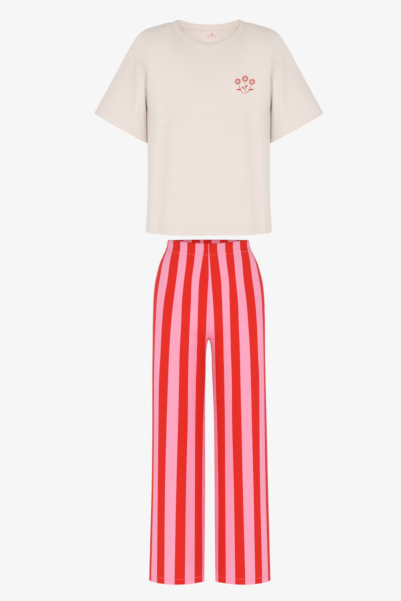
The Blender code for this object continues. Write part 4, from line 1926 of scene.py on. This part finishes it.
    def stripe_places(self, panel: Panel, side: Side, hand: Hand) -> Array:
        """Count the stripes across a panel.

        Whole numbers are edges of stripes: pink follows an even one and red an odd one. Past
        the edges that are known, towards a seam, a stripe has its flat width.

        Args:
            panel: the panel.
            side: front or back.
            hand: the leg.

        Returns:
            The count at each place.
        """
        stripes = self.stripes_left if hand is Hand.LEFT else self.stripes_right
        shift = self.back_shift if side is Side.BACK else 0.0
        numbers = np.arange(self.outermost[side], self.innermost + 1)
        edges = np.stack([through(stripes, f"edge{number}", panel.grid[:, 0, 2]) + shift
                          for number in numbers], axis=-1)
        count = np.zeros(panel.grid.shape[:2])
        for level, (row, known) in enumerate(zip(panel.skins()[0], edges)):
            out = (row[:, 0] - self.stripes_off) * hand
            order = slice(None, None, -1) if out[0] < out[-1] else slice(None)
            run = run_of(row[order])
            inside = known > out.min() + self.seam_margin
            at, counted = np.interp(-known[inside], -out[order], run), numbers[inside]
            places = np.interp(run, at, counted)
            places = np.where(run < at[0], counted[0] + (run - at[0]) / self.stripe, places)
            places = np.where(run > at[-1], counted[-1] + (run - at[-1]) / self.stripe, places)
            count[level] = places[order]
        return count

    def casing_stripes(self, ring: Array, front: Array) -> Array:
        """Count the stripes round the turned-in layer of the waist.

        Args:
            ring: its grid of places.
            front: the count that the front panels have at each place.

        Returns:
            The count at each place: the front's own, and one round its own middle at the back.
        """
        away = np.abs(ring[..., 0] - self.casing_centre) - self.casing_sliver
        back = self.innermost - away / self.casing_pitch
        return np.where(ring[..., 1] > self.outseam_y, back, front)

    # Pieces
    def build(self, cloth: Material, thread: Material) -> None:
        """Make and declare every piece of the trousers.

        Args:
            cloth: finish of the striped cloth.
            thread: finish of the stitches.
        """
        keys = [(side, hand) for side in Side for hand in Hand]
        panels = {}
        for side, hand in keys:
            core = (hand * self.leg_middle_x, self.outseam_y, self.crotch_z)
            name = f"striped_{side.word}_{hand.word}"
            panels[side, hand] = Panel(name, face_outward(self.grid(side, hand), core), self.wall)
        join_normals(list(panels.values()))
        counts = {}
        hem_threads: dict[Hand, list[Strand]] = {hand: [] for hand in Hand}
        waist_threads: list[Strand] = []
        for (side, hand), panel in panels.items():
            self.dress_panel(panel)
            counts[side, hand] = self.stripe_places(panel, side, hand)
            piece = panel.shell(cloth, counts[side, hand], panel.from_edge(Edge.LOW))
            declare_sheet(piece, panel, f"trouser_{side.word}_{hand.word}")
            hem_threads[hand] += self.stitches.strands(panel, Edge.LOW, self.hem.rows_up)
            deep = self.sections[0].z - self.casing_z
            waist_threads += self.stitches.strands(panel, Edge.HIGH, (deep,))
        for hand, threads in hem_threads.items():
            name = f"trouser_hem_stitches_{hand.word}"
            report_piece(strands_object(name, threads, thread))
        report_piece(strands_object("waist_stitches", waist_threads, thread))
        self.build_casing(panels, counts, cloth)

    def dress_panel(self, panel: Panel) -> None:
        """Press creases, seams, the hem and the elastic waist into a panel.

        Args:
            panel: the panel.
        """
        panel.press(self.creases)
        panel.turn_in(Edge.LOW, self.hem)
        for edge in (Edge.FIRST, Edge.LAST):
            panel.sew(edge, self.seam)
        deep = self.sections[0].z - self.casing_z
        from_top = panel.from_edge(Edge.HIGH)
        in_casing = 1 - ease((from_top - deep + self.casing_fade / 2) / self.casing_fade)
        around = panel.from_edge(Edge.FIRST)
        panel.shift += self.gather * in_casing * np.sin(2 * np.pi * around / self.gather_pitch)
        panel.shift -= self.casing_seam.sink(from_top - deep)
        away = (from_top - deep + self.puff_at) / self.puff_width
        panel.shift += self.puff * np.exp(-away ** 2)

    def build_casing(self, panels: dict, counts: dict, cloth: Material) -> None:
        """Make the layer that is turned in at the waist and folds over its top edge.

        Args:
            panels: the four panels.
            counts: their stripe counts.
            cloth: its finish.
        """
        order = ((Side.FRONT, Hand.LEFT), (Side.BACK, Hand.LEFT),
                 (Side.BACK, Hand.RIGHT), (Side.FRONT, Hand.RIGHT))
        rows = self.casing_rows + 1
        rings = []
        for source in ({key: panels[key].grid for key in order},
                       {key: panels[key].normals for key in order},
                       {key: counts[key][..., None] for key in order}):
            parts = [source[key][-rows:] for key in order]
            rings.append(np.concatenate([parts[0][:, :1]] + [part[:, 1:] for part in parts],
                                        axis=1))
        outer, looks, count = rings
        ring = outer - looks * self.casing_inset
        over = [ring[-1] + looks[-1] * away + point(0, 0, rise) for away, rise in self.casing_fold]
        ring = np.concatenate((ring, np.array(over)))
        count = np.concatenate((count, count[-1:], count[-1:]))[..., 0]
        panel = Panel("striped_waist_casing", ring, self.casing_wall, closed=True, bead=0.3)
        stripes = self.casing_stripes(ring, count)
        piece = panel.shell(cloth, stripes, panel.from_edge(Edge.LOW), crisp=False)
        declare_sheet(piece, panel, "waist_casing")


# ---- Prints ----------------------------------------------------------------------------
@dataclass(frozen=True)
class ChestPrint(Drawing):
    """A small spray of daisies on the wearer's left chest."""

    name: str = "chest_daisy_print"
    centre: Pair = (108.5, -189.0)
    from_y: float = -400.0

    def pens(self) -> list[Pen]:
        """Draw three heads, their stems and four leaves.

        Returns:
            The drawn lines.
        """
        pens = daisy((-21, 10), 10.5, 9, 10, 2.1) + daisy((1, 18), 11.0, 9, 32, 2.2)
        pens += daisy((22, 8), 10.5, 9, 0, 2.1)
        for head, foot, bow in (((-17, 0), (-3, -27), -3.5), ((0, 7), (0, -28), 1.5),
                                ((18, -2), (3, -27), 3.5)):
            pens.append(curved_pen(head, foot, bow, 0.9))
        for base, tip, bow in (((-10, -12), (-27, -12), 2.5), ((10, -14), (28, -12), -2.5),
                               ((-1, -12), (-9, -4), 1.0), ((1, -8), (9, 0), -1.0)):
            pens.append(curved_pen(base, tip, bow, 2.2, taper=True))
        return pens


@dataclass(frozen=True)
class NeckPrint(Drawing):
    """A small daisy with two leaves inside the back of the neck."""

    name: str = "neck_daisy_print"
    centre: Pair = (9.0, -51.0)
    from_y: float = 0.0

    def pens(self) -> list[Pen]:
        """Draw one head and two leaves.

        Returns:
            The drawn lines.
        """
        pens = daisy((0, 2), 6.0, 8, 0, 1.3)
        for way in (-1, 1):
            pens.append(curved_pen((7 * way, -4), (14 * way, 1), -1.2 * way, 1.5, taper=True))
        return pens


# ---- Frame ---------------------------------------------------------------------------
def report_piece(piece: Object) -> None:
    """Let a piece ride on the set and log it.

    Args:
        piece: the piece.
    """
    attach(piece, "root")
    triangles = sum(len(face.vertices) - 2 for face in piece.data.polygons)
    log.info("%-26s %7d triangles", piece.name, triangles)


def declare_sheet(piece: Object, panel: Panel, node: str) -> None:
    """Let a cloth stand for its solid and state its cut.

    Args:
        piece: the cloth.
        panel: the grid that it was made from, which gives its flat size.
        node: the solid that it stands for.
    """
    report_piece(piece)
    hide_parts(node)
    wide, long, area = panel.sizes()
    log.info("%-26s flat %.3f x %.3f m, %.4f square metres", "", wide, long, area)


# ---- Studio --------------------------------------------------------------------------
@dataclass(frozen=True)
class Studio:
    """Pale backdrop, soft light and the camera.

    Attributes:
        target: what the camera looks at, in metres.
        distance: how far off it stands, in metres.
        elevation: how far above level it stands, in degrees.
        lens: focal length, in millimetres.
        floor_z: height of the floor, in metres.
        backdrop: brightness of the floor and the backdrop.
        horizon: brightness of the light from all round, at the horizon.
        zenith: brightness of that light from straight above.
        sun: strength of the light from the front.
        sun_turn: way of that light, degrees above level and to the wearer's right.
        sun_angle: how wide and so how soft it is, in degrees.
        fills: places and strengths, in watts, of the light that cloth lets through.
        fill_colour: colour of that light.
        fill_radius: how wide and so how soft each of them is, in metres.
    """

    target: Triple = (-0.0253, 0.0, -0.8555)
    distance: float = 18.0
    elevation: float = 6.0
    lens: float = 353.5
    sensor: float = 36.0
    floor_z: float = -5.0
    floor_size: float = 400.0
    backdrop: float = 0.922
    horizon: float = 1.05
    zenith: float = 0.55
    sun: float = 0.51
    sun_turn: Pair = (-4.0, 2.0)
    sun_angle: float = 40.0
    fills: tuple[tuple[float, float, float, float], ...] = (
        (0.0, -0.010, -0.150, 0.30), (0.0, 0.0, -0.760, 0.20))
    fill_colour: Triple = (0.95, 1.0, 1.05)
    fill_radius: float = 0.06

    def build(self) -> None:
        """Set up the backdrop, lights, camera and view."""
        self.build_floor()
        self.build_world()
        self.build_sun()
        self.build_fills()
        self.build_camera()
        bpy.context.scene.view_settings.view_transform = "Standard"

    def build_floor(self) -> None:
        """Lay a wide pale floor that glows evenly, as a lit paper sweep does."""
        material = bpy.data.materials.new("pale_floor")
        material.use_nodes = True
        graph = Graph(material.node_tree)
        graph.nodes.remove(graph.nodes["Principled BSDF"])
        glow = graph.add("ShaderNodeEmission", {"Color": WHITE, "Strength": self.backdrop})
        graph.feed(graph.nodes["Material Output"].inputs["Surface"], glow.outputs[0])
        half = self.floor_size / 2 / MM
        low = self.floor_z / MM
        corners = np.array([(-half, -half, low), (half, -half, low), (half, half, low),
                            (-half, half, low)])
        floor = mesh_object("floor", corners, [(0, 1, 2, 3)], material)
        floor.visible_shadow = False

    def build_world(self) -> None:
        """Light the set from all round and show a plain backdrop behind it."""
        world = bpy.data.worlds.new("studio")
        world.use_nodes = True
        graph = Graph(world.node_tree)
        way = graph.add("ShaderNodeTexCoord").outputs["Generated"]
        split = graph.add("ShaderNodeSeparateXYZ", {0: way})
        fall = graph.add("ShaderNodeMapRange", {"Value": split.outputs["Z"],
                                                "To Min": self.horizon, "To Max": self.zenith})
        light = graph.nodes["Background"]
        graph.feed(light.inputs["Color"], WHITE)
        graph.feed(light.inputs["Strength"], fall.outputs["Result"])
        seen = graph.add("ShaderNodeBackground", {"Color": WHITE, "Strength": self.backdrop})
        path = graph.add("ShaderNodeLightPath")
        mix = graph.add("ShaderNodeMixShader", {0: path.outputs["Is Camera Ray"],
                                                1: light.outputs[0], 2: seen.outputs[0]})
        graph.feed(graph.nodes["World Output"].inputs["Surface"], mix.outputs[0])
        bpy.context.scene.world = world

    def build_sun(self) -> None:
        """Add the wide soft light from the front."""
        lamp = bpy.data.lights.new("front_light", "SUN")
        lamp.energy = self.sun
        lamp.angle = np.radians(self.sun_angle)
        light = add_object("front_light", lamp)
        rise, turn = np.radians(self.sun_turn)
        back = Vector((-np.sin(turn) * np.cos(rise), -np.cos(turn) * np.cos(rise), np.sin(rise)))
        light.rotation_mode = "QUATERNION"
        light.rotation_quaternion = back.to_track_quat("Z", "Y")

    def build_fills(self) -> None:
        """Light the hollow inside as cloth does that lets light through."""
        for number, (x, y, z, power) in enumerate(self.fills):
            lamp = bpy.data.lights.new(f"fill_light_{number}", "POINT")
            lamp.energy = power
            lamp.color = self.fill_colour
            lamp.shadow_soft_size = self.fill_radius
            light = add_object(f"fill_light_{number}", lamp)
            light.location = (x, y, z)
            light.visible_camera = False

    def build_camera(self) -> None:
        """Put the camera at its place and make it the scene's."""
        lens = bpy.data.cameras.new("camera")
        lens.lens = self.lens
        lens.sensor_width = self.sensor
        lens.clip_end = self.floor_size
        camera = add_object("camera", lens)
        rise = np.radians(self.elevation)
        back = Vector((0.0, -np.cos(rise), np.sin(rise)))
        camera.location = Vector(self.target) + back * self.distance
        camera.rotation_mode = "QUATERNION"
        camera.rotation_quaternion = back.to_track_quat("Z", "Y")
        bpy.context.scene.camera = camera


def clear_leftovers() -> None:
    """Remove objects that aren't the frame's, such as a new file's cube."""
    kept = {*frame["nodes"].values(), *frame["bodies"].values()}
    for thing in list(bpy.data.objects):
        if thing not in kept:
            bpy.data.objects.remove(thing)


def main() -> None:
    """Build the studio and the set."""
    logging.basicConfig(level=logging.INFO, format="%(message)s")
    clear_leftovers()
    Studio().build()
    cream_thread = Thread("cream_thread", (0.93, 0.895, 0.865)).material()
    pink_thread = Thread("pink_thread", (0.99, 0.60, 0.63)).material()
    front, back = TShirt().build(Jersey().material(), Rib().material(), cream_thread)
    Trousers().build(StripedCloth().material(), pink_thread)
    ChestPrint().build(front, Ink("red_print", (0.86, 0.22, 0.20)).material())
    NeckPrint().build(back, Ink("pink_print", (0.87, 0.62, 0.74)).material())
    bpy.context.view_layer.update()


if __name__ == "__main__":
    main()
